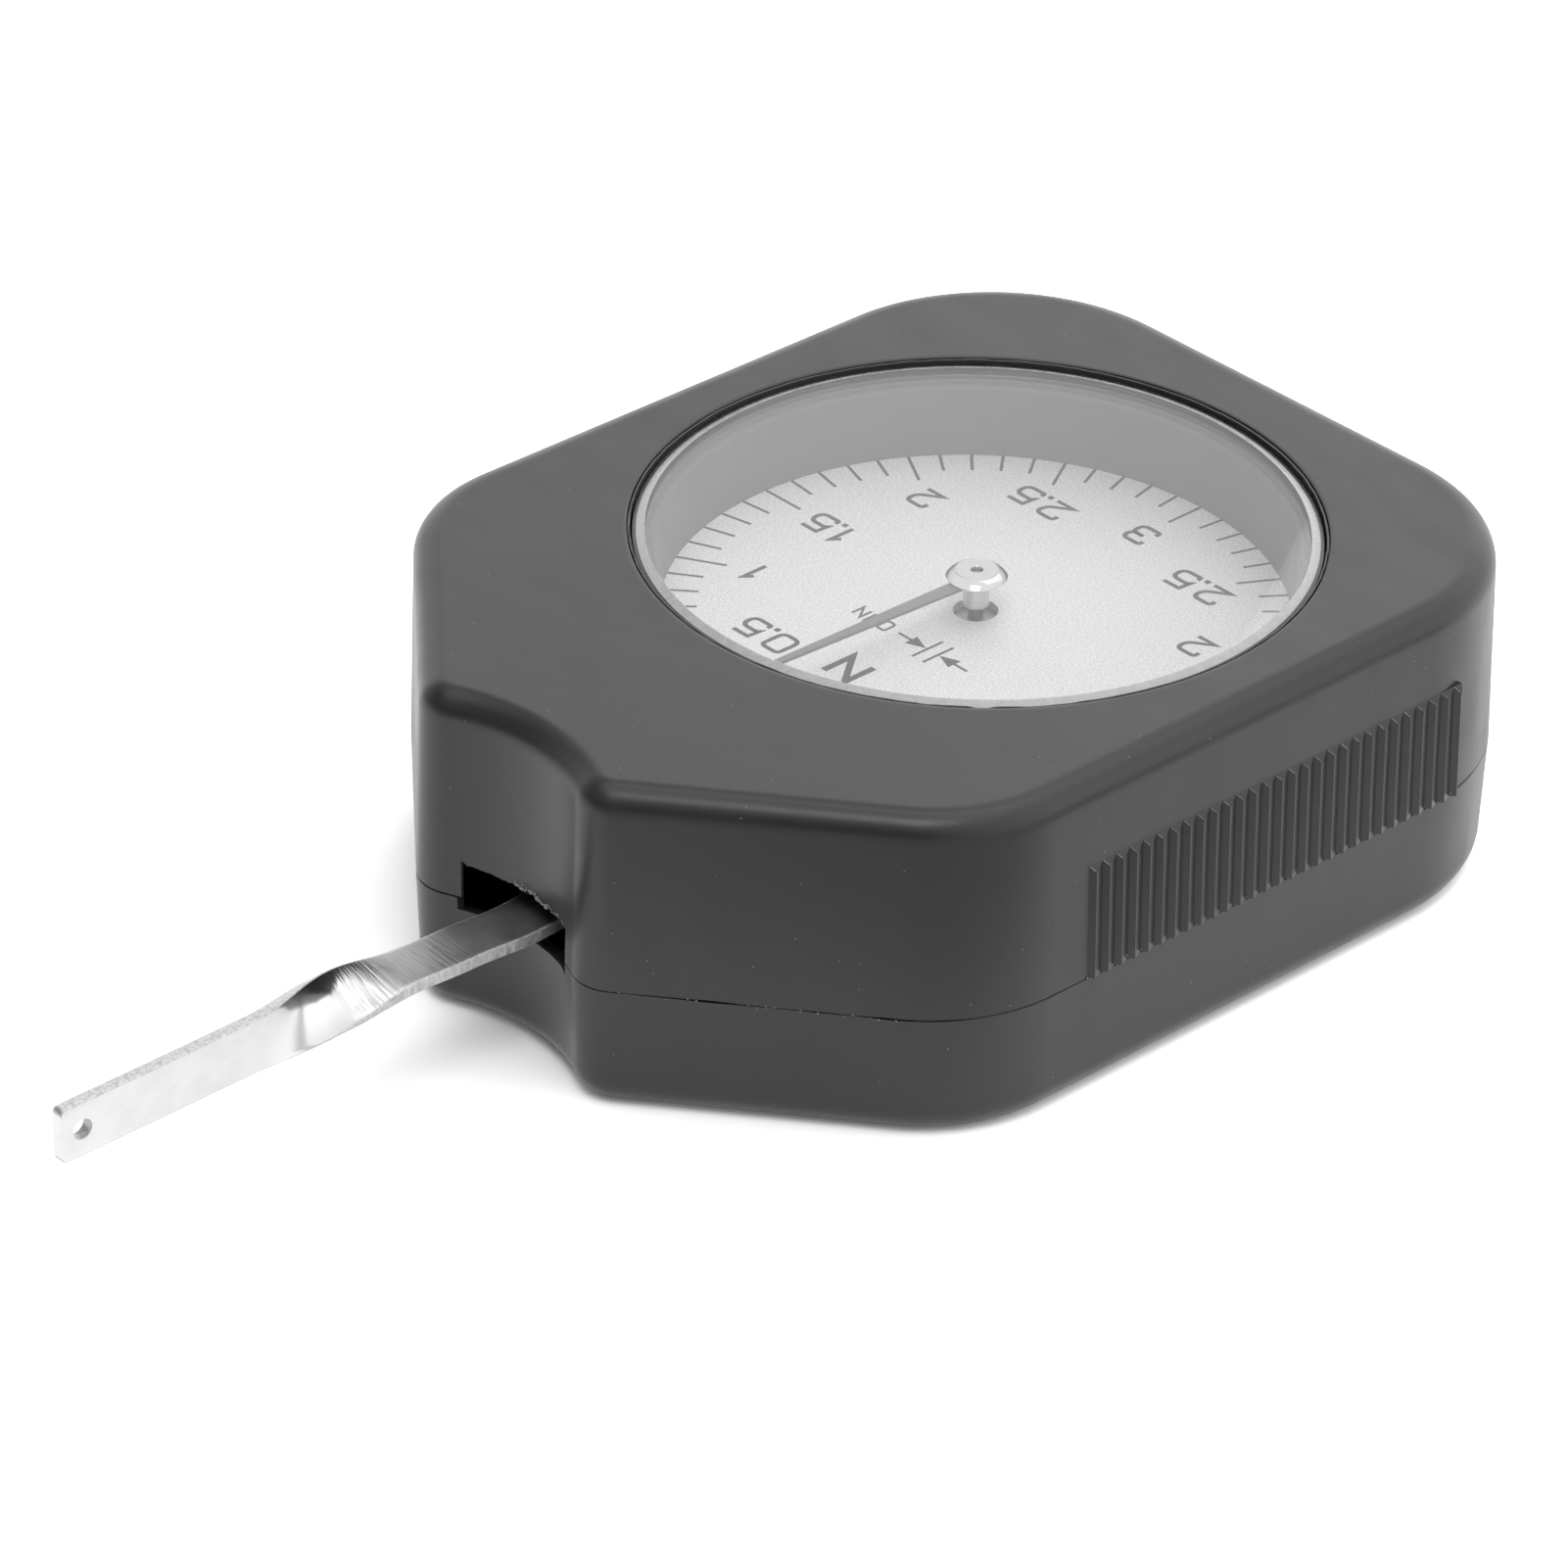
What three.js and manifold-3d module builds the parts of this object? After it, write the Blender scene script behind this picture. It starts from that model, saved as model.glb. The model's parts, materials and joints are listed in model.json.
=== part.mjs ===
// A palm-sized dial tension gauge: a two-shell plastic case with a round window, a movement of
// two plates on pillars, a twisted steel feeler arm on a pivot shaft, and a pointer geared to it.
// Millimetres, +Z up. The origin is where the pointer's axis meets the case's back face; the
// dial faces +Z and the arm leaves the case towards -Y.
import * as THREE from "three";
import * as BufferGeometryUtils from "three/addons/utils/BufferGeometryUtils.js";
import Module from "manifold-3d";

const wasm = await Module();
wasm.setup();

// Gear train: a toothed sector on the arm's shaft drives the pointer's pinion
const gearModule = 0.4;
const pinionTeeth = 9;
const sectorWheelTeeth = 162;
const sectorTeethCut = 12;
const sectorRimWidth = 3.2;
const sectorHubRadius = 4.4;
const sectorSpokeWidth = 2.4;
const sectorThickness = 1.2;
const sectorClearance = 2.0;
const pinionOverhang = 0.3;
const addendumShare = 0.8;
const dedendumShare = 1.25;
const sectorToothShare = 0.42;
const pinionToothShare = 0.36;
const pressureAngle = THREE.MathUtils.degToRad(20);
const armSwing = THREE.MathUtils.degToRad(10);

// Window, its seat ring and the dial
const openingRadius = 25.0;
const windowGap = 0.25;
const windowThickness = 1.2;
const windowRecess = 0.15;
const windowChamfer = 0.2;
const ringGap = 0.2;
const ringHeight = 6.3;
const ringFootWidth = 2.1;
const ringNeckWidth = 1.7;
const ringLipWidth = 1.4;
const ringLipHeight = 0.8;
const dialThickness = 0.6;
const dialHoleRadius = 1.62;
const dialFootRadius = 0.6;
const dialFootLength = 2.2;
const dialFootInset = 7.8;
const dialFootAngle = THREE.MathUtils.degToRad(28);
const wellWall = 1.4;
const wellFootGap = 0.2;

// Case outline at the parting line, seen from the dial side, by what lies inside it
const sideMargin = 5.5;
const backMargin = 7.0;
const noseGap = 1.4;
const noseCornerHalfWidth = 8.4;
const chamferRun = 17.8;
const backCornerRadius = 16.5;
const sideCornerRadius = 13.0;
const noseCornerRadius = 3.4;
const scoopRadius = 15.8;
const scoopDepth = 2.6;

// Case section
const partingBelowStrip = 0.65;
const caseWall = 2.0;
const topEdgeRadius = 1.95;
const bottomEdgeRadius = 2.2;
const topDraft = 0.38;
const bottomDraft = 0.34;

// Finger ribs on the upper shell's two sides, which run a little way round the back corners
const ribPitch = 1.285;
const ribHeight = 9.0;
const ribDepth = 0.39;
const ribCrestShare = 0.29;
const ribRootDepth = 1.2;
const ribStartGap = 3.26;
const ribCornerRun = 3.65;

// Slot for the arm in the nose, with a thin lip: behind it the wall is cut away at a slant
const slotHalfWidth = 5.5;
const slotAboveParting = 2.8;
const slotBelowParting = 0.9;
const slotLip = 0.4;
const slotFlare = 4.6;
const slotReliefMargin = 1.0;

// Movement plates and what holds them together
const frontPlateThickness = 1.25;
const frontPlateInset = 1.5;
const backPlateThickness = 1.2;
const backPlateInset = 3.0;
const backPlateStandoff = 1.0;
const tongueRadius = 5.0;
const pillarRadius = 1.8;
const pillarSpigotRadius = 1.0;
const pillarSpigotLength = 0.9;
const pillarInset = 3.1;
const pillarBackAngle = THREE.MathUtils.degToRad(45);
const pillarNoseAngle = THREE.MathUtils.degToRad(-10);
const pillarScrewRadius = 0.8;
const pillarScrewDepth = 3.8;
const pillarHeadRadius = 1.6;
const pillarHeadHeight = 0.7;
const movementScrewRadius = 0.9;
const movementScrewDepth = 2.0;
const movementHeadRadius = 1.7;
const movementHeadHeight = 0.9;
const movementScrewInset = 2.8;
const movementScrewAngle = THREE.MathUtils.degToRad(-53);
const movementBossRadius = 2.4;

// Case screws
const caseScrewRadius = 1.15;
const caseScrewHeadRadius = 2.1;
const caseScrewHeadHeight = 1.5;
const caseScrewHeadDepth = 0.7;
const caseScrewGrip = 7.25;
const caseBossRadius = 3.3;
const caseScrewBackInset = 9.2;
const caseScrewNoseInset = 12.0;
const caseScrewNoseRun = 15.9;
const driveSlotWidth = 0.4;
const driveSlotDepth = 0.35;

// Pointer and its arbor
const arborRadius = 0.9;
const arborJournalRadius = 0.55;
const arborRunningGap = 0.05;
const arborEndPlay = 0.1;
const arborTipRecess = 0.3;
const hubAboveDial = 3.35;
const hubTopRadius = 1.73;
const hubRimRadius = 2.23;
const hubHeight = 0.6;
const hubBevelHeight = 0.34;
const hubStemRadius = 0.95;
const hubStemFootAboveDial = 0.5;
const hubStemTaper = 0.3;
const needleThickness = 0.25;
const needleBossRadius = 1.7;
const needleTipGap = 3.3;
const needleRootHalfWidth = 0.62;
const needleTipHalfWidth = 0.2;
const needleRestAngle = THREE.MathUtils.degToRad(-2);
const bushWall = 0.95;
const bushProud = 0.2;

// Hairspring that takes the backlash out of the gears
const collarWall = 0.95;
const hairspringLift = 1.8;
const hairspringHeight = 0.6;
const hairspringThickness = 0.14;
const hairspringTurns = 5;
const hairspringOuterRadius = 6.9;
const studRadius = 0.6;

// Arm: a steel strip that lies flat in the case and is twisted upright outside it
const stripWidth = 4.3;
const stripThickness = 0.95;
const stripTail = 8.0;
const armStraight = 7.1;
const twistLength = 14.5;
const bladeLength = 16.3;
const tipHoleRadius = 0.78;
const tipHoleInset = 1.75;

// Arm clamp on the pivot shaft
const shaftRadius = 1.2;
const shaftCollarRadius = 1.9;
const shaftRunningGap = 0.05;
const fitGap = 0.05;
const carrierLift = 1.025;
const carrierHalfWidth = 3.2;
const carrierThickness = 1.5;
const carrierNoseReach = 5.2;
const carrierTailPastPins = 1.4;
const carrierHubRadius = 5.2;
const carrierSpigotRadius = 2.8;
const clampPlateThickness = 1.0;
const clampScrewRadius = 0.65;
const clampScrewHeadRadius = 1.2;
const clampScrewHeadHeight = 0.7;
const clampScrewNoseReach = 3.7;
const clampScrewTailReach = 4.6;

// Measuring spring: a leaf held in a block and pushed by two pins on the arm
const leafThickness = 0.3;
const leafHeight = 3.0;
const leafHeadroom = 0.925;
const leafPastPins = 0.8;
const leafPinRadius = 0.7;
const leafPinGap = 0.2;
const leafPinArm = 9.2;
const blockHalfWidth = 3.2;
const blockNearReach = 5.6;
const blockLength = 5.6;
const blockWall = 0.5;
const blockScrewRadius = 0.7;
const blockScrewHeadRadius = 1.2;
const blockScrewHeadHeight = 0.6;
const blockScrewDepth = 2.6;
const stopPinRadius = 1.0;
const stopPinGap = 0.25;

// How round things are drawn
const largeSegments = 60;
const bushSegments = 28;
const smallSegments = 14;
const spiralSteps = 18;
const cornerSteps = 7;
const edgeSteps = 3;
const twistSteps = 16;
const overrun = 1.0;

// Plan sizes that follow from the ones above
const windowRadius = openingRadius - windowGap;
const ringOuterRadius = openingRadius - ringGap;
const dialRadius = ringOuterRadius;
const frontPlateRadius = openingRadius - frontPlateInset;
const backPlateRadius = openingRadius - backPlateInset;
const pivotReach = gearModule * (sectorWheelTeeth + pinionTeeth) / 2;
const sectorRootRadius = gearModule * (sectorWheelTeeth / 2 - dedendumShare);
const caseHalfWidth = openingRadius + sideMargin;
const caseBackReach = openingRadius + backMargin;
const noseCornerReach = pivotReach + carrierNoseReach + noseGap + caseWall + scoopDepth;
const sideCornerReach = noseCornerReach - chamferRun;
const scoopReach = noseCornerReach - scoopDepth;
const twistStart = noseCornerReach + armStraight;
const twistEnd = twistStart + twistLength;
const tipReach = twistEnd + bladeLength;
const arborBushRadius = arborJournalRadius + arborRunningGap + bushWall;
const shaftBushRadius = shaftRadius + shaftRunningGap + bushWall;
const blockFarReach = blockNearReach + blockLength;
const leafPinReach = pivotReach - leafPinArm;
const carrierTailReach = leafPinArm + carrierTailPastPins;

// Heights, stacked from the back face to the top face
const backPlateBottom = caseWall + backPlateStandoff;
const backPlateTop = backPlateBottom + backPlateThickness;
const sectorBottom = backPlateTop + sectorClearance;
const sectorTop = sectorBottom + sectorThickness;
const pinionTop = sectorTop + pinionOverhang;
const hairspringBottom = pinionTop + hairspringLift;
const carrierBottom = sectorTop + carrierLift;
const stripBottom = carrierBottom + carrierThickness;
const stripMiddle = stripBottom + stripThickness / 2;
const stripTop = stripBottom + stripThickness;
const partingHeight = stripMiddle - partingBelowStrip;
const clampPlateTop = stripTop + clampPlateThickness;
const leafBottom = clampPlateTop + leafPinGap;
const leafTop = leafBottom + leafHeight;
const frontPlateBottom = leafTop + leafHeadroom;
const dialBottom = frontPlateBottom + frontPlateThickness;
const dialTop = dialBottom + dialThickness;
const hubTop = dialTop + hubAboveDial;
const windowBottom = dialTop + ringHeight;
const windowTop = windowBottom + windowThickness;
const caseHeight = windowTop + windowRecess;
const topInside = caseHeight - caseWall;
const caseScrewReach = partingHeight + caseScrewGrip;
const frontBushBottom = frontPlateBottom - bushProud;
const backBushTop = backPlateTop + bushProud;

// Places of the fasteners
const atAngle = (radius, angle) => [radius * Math.cos(angle), radius * Math.sin(angle)];
const bothSides = ([x, y]) => [[x, y], [-x, y]];
const pillarCircle = backPlateRadius - pillarInset;
const movementCircle = backPlateRadius - movementScrewInset;
const pillarPlaces = [
  ...bothSides(atAngle(pillarCircle, pillarBackAngle)),
  ...bothSides(atAngle(pillarCircle, pillarNoseAngle)),
];
const movementScrewPlaces = [
  [0, movementCircle], ...bothSides(atAngle(movementCircle, movementScrewAngle)),
];
const caseScrewPlaces = [
  ...bothSides([caseHalfWidth - caseScrewBackInset, caseBackReach - caseScrewBackInset]),
  ...bothSides([caseHalfWidth - caseScrewNoseInset, caseScrewNoseRun - noseCornerReach]),
];
const dialFootPlaces = bothSides(atAngle(dialRadius - dialFootInset, dialFootAngle));
const blockScrewPlaces = bothSides([
  (blockHalfWidth + leafThickness) / 2, -(blockNearReach + blockFarReach) / 2,
]);

// Geometry helpers

function toSolid(geometry) {
  const bare = geometry.clone();
  bare.deleteAttribute("normal");
  bare.deleteAttribute("uv");
  const merged = BufferGeometryUtils.mergeVertices(bare);
  return new wasm.Manifold(new wasm.Mesh({
    numProp: 3,
    vertProperties: new Float32Array(merged.attributes.position.array),
    triVerts: new Uint32Array(merged.index.array),
  }));
}

function toGeometry(solid) {
  const mesh = solid.getMesh();
  const geometry = new THREE.BufferGeometry();
  geometry.setAttribute("position", new THREE.BufferAttribute(mesh.vertProperties, mesh.numProp));
  geometry.setIndex(new THREE.BufferAttribute(mesh.triVerts, 1));
  return geometry;
}

function node(name, solid, material) {
  const mesh = new THREE.Mesh(toGeometry(solid), material);
  mesh.name = name;
  mesh.geometry.computeVertexNormals();
  return mesh;
}

// One mesh for each place, from a solid that is drawn about its own axis
function copies(name, places, solid, material) {
  return places.map(([x, y], index) => {
    const mesh = node(`${name}_${index + 1}`, solid, material.clone());
    mesh.position.set(x, y, 0);
    return mesh;
  });
}

function join(solids) {
  return solids.reduce((whole, piece) => whole.add(piece));
}

function cut(solid, tools) {
  return tools.reduce((rest, tool) => rest.subtract(tool), solid);
}

// A round rod along Z between two heights
function rod(radius, bottom, top, place = [0, 0], segments = smallSegments) {
  const geometry = new THREE.CylinderGeometry(radius, radius, top - bottom, segments);
  geometry.rotateX(Math.PI / 2);
  geometry.translate(place[0], place[1], (bottom + top) / 2);
  return toSolid(geometry);
}

function sleeve(outer, inner, bottom, top, place = [0, 0], segments = smallSegments) {
  const bore = rod(inner, bottom - overrun, top + overrun, place, segments);
  return rod(outer, bottom, top, place, segments).subtract(bore);
}

// A turned piece from [radius, height] pairs that start and end on the axis or close
function turned(profile, segments = smallSegments) {
  const points = profile.map(([radius, height]) => new THREE.Vector2(radius, height));
  const geometry = new THREE.LatheGeometry(points, segments);
  geometry.rotateX(Math.PI / 2);
  return toSolid(geometry);
}

function box(low, high) {
  const size = high.map((value, axis) => value - low[axis]);
  const geometry = new THREE.BoxGeometry(...size);
  geometry.translate(...high.map((value, axis) => (value + low[axis]) / 2));
  return toSolid(geometry);
}

// An upright prism on a plan outline, with holes if any
function prism(outline, bottom, top, holes = []) {
  const shape = new THREE.Shape(outline);
  shape.holes = holes.map((hole) => new THREE.Path(hole));
  const geometry = new THREE.ExtrudeGeometry(shape, {
    depth: top - bottom, bevelEnabled: false, curveSegments: 1,
  });
  geometry.translate(0, 0, bottom);
  return toSolid(geometry);
}

// A closed body through rings of points that all have the same count
function loft(rings) {
  const count = rings[0].length;
  const flat = rings.flat();
  const faces = [];
  for (let level = 0; level + 1 < rings.length; level += 1) {
    for (let i = 0; i < count; i += 1) {
      const a = level * count + i;
      const b = level * count + (i + 1) % count;
      faces.push(a, b, b + count, a, b + count, a + count);
    }
  }
  const last = (rings.length - 1) * count;
  const plan = rings[0].map((point) => new THREE.Vector2(point.x, point.y));
  const planLast = rings[rings.length - 1].map((point) => new THREE.Vector2(point.x, point.y));
  THREE.ShapeUtils.triangulateShape(plan, []).forEach(([a, b, c]) => faces.push(a, c, b));
  THREE.ShapeUtils.triangulateShape(planLast, []).forEach(([a, b, c]) => {
    faces.push(last + a, last + b, last + c);
  });
  const geometry = new THREE.BufferGeometry();
  const positions = new Float32Array(flat.flatMap((point) => [point.x, point.y, point.z]));
  geometry.setAttribute("position", new THREE.BufferAttribute(positions, 3));
  geometry.setIndex(faces);
  return toSolid(geometry);
}

function arc(centre, radius, from, to, steps) {
  return Array.from({ length: steps + 1 }, (_, i) => {
    const angle = from + (to - from) * i / steps;
    return new THREE.Vector2(
      centre.x + radius * Math.cos(angle), centre.y + radius * Math.sin(angle));
  });
}

function circle(radius, place, segments) {
  const centre = new THREE.Vector2(...place);
  return arc(centre, radius, 0, 2 * Math.PI, segments).slice(0, segments);
}

// Case outline

// The chamfer between the side wall and the nose runs through two theoretical corners
const chamferSpan = new THREE.Vector2(
  caseHalfWidth - noseCornerHalfWidth, noseCornerReach - sideCornerReach);
const chamferNormal = new THREE.Vector2(chamferSpan.y, -chamferSpan.x).normalize();
const chamferOffset = chamferNormal.dot(new THREE.Vector2(caseHalfWidth, -sideCornerReach));

// Centre of a round that touches the chamfer and the side wall
function sideCornerCentre() {
  const x = caseHalfWidth - sideCornerRadius;
  const y = (chamferOffset - sideCornerRadius - chamferNormal.x * x) / chamferNormal.y;
  return new THREE.Vector2(x, y);
}

// Centre of the circle of the hollow in the nose
const scoopCentre = new THREE.Vector2(0, -scoopReach - scoopRadius);

// Centre of the nose tip's round, which touches the chamfer and the hollow scoop's circle
function noseCornerCentre() {
  const along = new THREE.Vector2(-chamferNormal.y, chamferNormal.x);
  const foot = chamferNormal.clone().multiplyScalar(chamferOffset - noseCornerRadius);
  const toFoot = foot.clone().sub(scoopCentre);
  const reach = scoopRadius + noseCornerRadius;
  const half = toFoot.dot(along);
  const run = -half + Math.sqrt(half * half - toFoot.lengthSq() + reach * reach);
  return foot.addScaledVector(along, run);
}

// The case's plan outline, drawn in by an inset, counter-clockwise from the back right corner
function caseOutline(inset) {
  const backCentre = new THREE.Vector2(
    caseHalfWidth - backCornerRadius, caseBackReach - backCornerRadius);
  const sideCentre = sideCornerCentre();
  const noseCentre = noseCornerCentre();
  const normalAngle = Math.atan2(chamferNormal.y, chamferNormal.x);
  const scoopAngle = Math.atan2(noseCentre.y - scoopCentre.y, noseCentre.x - scoopCentre.x);
  const right = [
    ...arc(noseCentre, noseCornerRadius - inset, scoopAngle - Math.PI, normalAngle, cornerSteps),
    ...arc(sideCentre, sideCornerRadius - inset, normalAngle, 0, cornerSteps),
    ...arc(backCentre, backCornerRadius - inset, 0, Math.PI / 2, cornerSteps),
  ];
  const left = right.map((point) => new THREE.Vector2(-point.x, point.y)).reverse();
  const scoop = arc(
    scoopCentre, scoopRadius + inset, Math.PI - scoopAngle, scoopAngle, cornerSteps);
  return [...right, ...left, ...scoop.slice(1, cornerSteps)];
}

function outlineAt(inset, height) {
  return caseOutline(inset).map((point) => new THREE.Vector3(point.x, point.y, height));
}

// Rings of a rounded edge that leaves the wall at one height and meets the face at another
function edgeRings(startInset, radius, wallHeight, direction) {
  return Array.from({ length: edgeSteps + 1 }, (_, i) => {
    const angle = (Math.PI / 2) * i / edgeSteps;
    const inset = startInset + radius * (1 - Math.cos(angle));
    return outlineAt(inset, wallHeight + direction * radius * Math.sin(angle));
  });
}

function draftAt(height, draft, from, to) {
  return draft * (height - from) / (to - from);
}

// Case parts

function ribs(side) {
  const crest = side * (caseHalfWidth + ribDepth);
  const valley = side * caseHalfWidth;
  const root = side * (caseHalfWidth - ribRootDepth);
  const ribStart = sideCornerCentre().y + ribStartGap;
  const ribEnd = caseBackReach - backCornerRadius + ribCornerRun;
  const ribCount = Math.round((ribEnd - ribStart) / ribPitch);
  const outline = [new THREE.Vector2(root, ribStart), new THREE.Vector2(valley, ribStart)];
  for (let i = 0; i < ribCount; i += 1) {
    const start = ribStart + i * ribPitch;
    outline.push(new THREE.Vector2(crest, start + ribPitch * ribCrestShare));
    outline.push(new THREE.Vector2(valley, start + ribPitch));
  }
  outline.push(new THREE.Vector2(root, ribStart + ribCount * ribPitch));
  const ordered = side > 0 ? outline : outline.reverse();
  return prism(ordered, partingHeight, partingHeight + ribHeight);
}

// What is cut away behind the slot's lip, between two heights
function slotRelief(bottom, top) {
  const radius = scoopRadius + slotLip;
  const half = Math.asin(slotHalfWidth / radius);
  const inside = caseWall + overrun - scoopReach;
  return prism([
    ...arc(scoopCentre, radius, Math.PI / 2 - half, Math.PI / 2 + half, cornerSteps),
    new THREE.Vector2(-slotHalfWidth - slotFlare, inside),
    new THREE.Vector2(slotHalfWidth + slotFlare, inside),
  ], bottom, top);
}

function caseFront() {
  const edgeStart = caseHeight - topEdgeRadius;
  const edgeInset = draftAt(edgeStart, topDraft, partingHeight, caseHeight);
  const outer = loft([
    outlineAt(0, partingHeight),
    ...edgeRings(edgeInset, topEdgeRadius, edgeStart, 1),
  ]);
  const cavity = loft([
    outlineAt(caseWall, partingHeight - overrun), outlineAt(caseWall + topDraft, topInside),
  ]);
  const well = rod(openingRadius + wellWall, dialBottom + wellFootGap, caseHeight - caseWall / 2,
    [0, 0], largeSegments);
  const opening = rod(openingRadius, partingHeight, caseHeight + overrun, [0, 0], largeSegments);
  const bosses = caseScrewPlaces.map((place) => (
    rod(caseBossRadius - fitGap, partingHeight, topInside + caseWall / 2, place)));
  const holes = caseScrewPlaces.map((place) => (
    rod(caseScrewRadius + fitGap, partingHeight - overrun, caseScrewReach + overrun, place)));
  const slot = box(
    [-slotHalfWidth, -noseCornerReach - overrun, partingHeight - overrun],
    [slotHalfWidth, -scoopReach + caseWall + overrun, partingHeight + slotAboveParting]);
  const relief = slotRelief(
    partingHeight - overrun, partingHeight + slotAboveParting + slotReliefMargin);
  const shell = join([outer.subtract(cavity), well, ...bosses, ribs(1), ribs(-1)]);
  return cut(shell, [opening, slot, relief, ...holes]);
}

function caseBack() {
  const edgeInset = draftAt(partingHeight - bottomEdgeRadius, bottomDraft, 0, partingHeight);
  const outer = loft([
    ...edgeRings(edgeInset, bottomEdgeRadius, bottomEdgeRadius, -1).reverse(),
    outlineAt(0, partingHeight),
  ]);
  const cavity = loft([
    outlineAt(caseWall + bottomDraft, caseWall),
    outlineAt(caseWall, partingHeight + overrun),
  ]);
  const bosses = caseScrewPlaces.map((place) => rod(caseBossRadius, caseWall / 2, partingHeight,
    place));
  const seats = movementScrewPlaces.map((place) => (
    rod(movementBossRadius, caseWall / 2, backPlateBottom, place)));
  const sinks = caseScrewPlaces.map((place) => rod(
    caseScrewHeadRadius + fitGap, -overrun, caseScrewHeadDepth + caseScrewHeadHeight, place));
  const holes = caseScrewPlaces.map((place) => (
    rod(caseScrewRadius + fitGap, 0, partingHeight + overrun, place)));
  const threads = movementScrewPlaces.map((place) => rod(movementScrewRadius + fitGap,
    backPlateBottom - movementScrewDepth - fitGap, backPlateBottom + overrun, place));
  const notch = box(
    [-slotHalfWidth, -noseCornerReach - overrun, partingHeight - slotBelowParting],
    [slotHalfWidth, -scoopReach + caseWall + overrun, partingHeight + overrun]);
  const relief = slotRelief(
    partingHeight - slotBelowParting - slotReliefMargin, partingHeight + overrun);
  const shell = join([outer.subtract(cavity), ...bosses, ...seats]);
  return cut(shell, [notch, relief, ...sinks, ...holes, ...threads]);
}

// A slotted screw with its head at one end; up is 1 where the head is on top
function screw(headRadius, headHeight, shankRadius, headFace, shankLength, up) {
  const seat = headFace - up * headHeight;
  const middle = headFace - up * headHeight / 2;
  const end = seat - up * shankLength;
  const head = rod(headRadius, Math.min(headFace, seat), Math.max(headFace, seat));
  const shank = rod(shankRadius, Math.min(middle, end), Math.max(middle, end));
  const slotFloor = headFace - up * driveSlotDepth;
  const slotEnd = headFace + up * overrun;
  const slot = box(
    [-headRadius - overrun, -driveSlotWidth / 2, Math.min(slotFloor, slotEnd)],
    [headRadius + overrun, driveSlotWidth / 2, Math.max(slotFloor, slotEnd)]);
  return head.add(shank).subtract(slot);
}

function caseScrew() {
  const shankLength = caseScrewReach - caseScrewHeadDepth - caseScrewHeadHeight;
  return screw(caseScrewHeadRadius, caseScrewHeadHeight, caseScrewRadius, caseScrewHeadDepth,
    shankLength, -1);
}

// Window, ring and dial

function windowLens() {
  return turned([
    [0, windowBottom], [windowRadius, windowBottom], [windowRadius, windowTop - windowChamfer],
    [windowRadius - windowChamfer, windowTop], [0, windowTop],
  ], largeSegments);
}

function dialRing() {
  const lipBottom = windowBottom - ringLipHeight;
  const footRadius = ringOuterRadius - ringFootWidth;
  const neckRadius = ringOuterRadius - ringNeckWidth;
  const lipRadius = ringOuterRadius - ringLipWidth;
  return turned([
    [footRadius, dialTop], [ringOuterRadius, dialTop], [ringOuterRadius, windowBottom],
    [lipRadius, windowBottom], [lipRadius, lipBottom], [neckRadius, lipBottom],
    [footRadius, dialTop],
  ], largeSegments);
}

function dialPlate() {
  return prism(circle(dialRadius, [0, 0], largeSegments), dialBottom, dialTop,
    [circle(dialHoleRadius, [0, 0], smallSegments)]);
}

function dialFoot() {
  return rod(dialFootRadius, dialBottom - dialFootLength, dialBottom);
}

// Movement plates

// A disc with a tongue that carries the pivot shaft's bush
function plateBlank(radius, bottom, top) {
  const disc = rod(radius, bottom, top, [0, 0], largeSegments);
  const tongue = box([-tongueRadius, -pivotReach, bottom], [tongueRadius, 0, top]);
  return join([disc, tongue, rod(tongueRadius, bottom, top, [0, -pivotReach])]);
}

function plateHole(radius, bottom, top, place, segments = smallSegments) {
  return rod(radius + fitGap, bottom - overrun, top + overrun, place, segments);
}

function frontPlate() {
  const bottom = frontPlateBottom;
  const top = dialBottom;
  const sinkFloor = top - blockScrewHeadHeight - fitGap;
  return cut(plateBlank(frontPlateRadius, bottom, top), [
    plateHole(arborBushRadius, bottom, top, [0, 0], bushSegments),
    plateHole(shaftBushRadius, bottom, top, [0, -pivotReach], bushSegments),
    ...pillarPlaces.map((place) => plateHole(pillarSpigotRadius, bottom, top, place)),
    ...dialFootPlaces.map((place) => plateHole(dialFootRadius, bottom, top, place)),
    ...blockScrewPlaces.map((place) => plateHole(blockScrewRadius, bottom, top, place)),
    ...blockScrewPlaces.map((place) => (
      rod(blockScrewHeadRadius + fitGap, sinkFloor, top + overrun, place))),
  ]);
}

function backPlate() {
  const bottom = backPlateBottom;
  const top = backPlateTop;
  return cut(plateBlank(backPlateRadius, bottom, top), [
    plateHole(arborBushRadius, bottom, top, [0, 0], bushSegments),
    plateHole(shaftBushRadius, bottom, top, [0, -pivotReach], bushSegments),
    ...pillarPlaces.map((place) => plateHole(pillarScrewRadius, bottom, top, place)),
    ...movementScrewPlaces.map((place) => plateHole(movementScrewRadius, bottom, top, place)),
    ...stopPinPlaces().map((place) => plateHole(stopPinRadius, bottom, top, place)),
    plateHole(studRadius, bottom, top, studPlace()),
  ]);
}

function platePillar() {
  const body = rod(pillarRadius, backPlateTop, frontPlateBottom);
  const spigot = rod(pillarSpigotRadius, frontPlateBottom - overrun,
    frontPlateBottom + pillarSpigotLength);
  const thread = rod(pillarScrewRadius + fitGap, backPlateTop - overrun,
    backPlateTop + pillarScrewDepth);
  return body.add(spigot).subtract(thread);
}

function pillarScrew() {
  const shankLength = backPlateThickness + pillarScrewDepth - fitGap;
  return screw(pillarHeadRadius, pillarHeadHeight, pillarScrewRadius,
    backPlateBottom - pillarHeadHeight, shankLength, -1);
}

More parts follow.
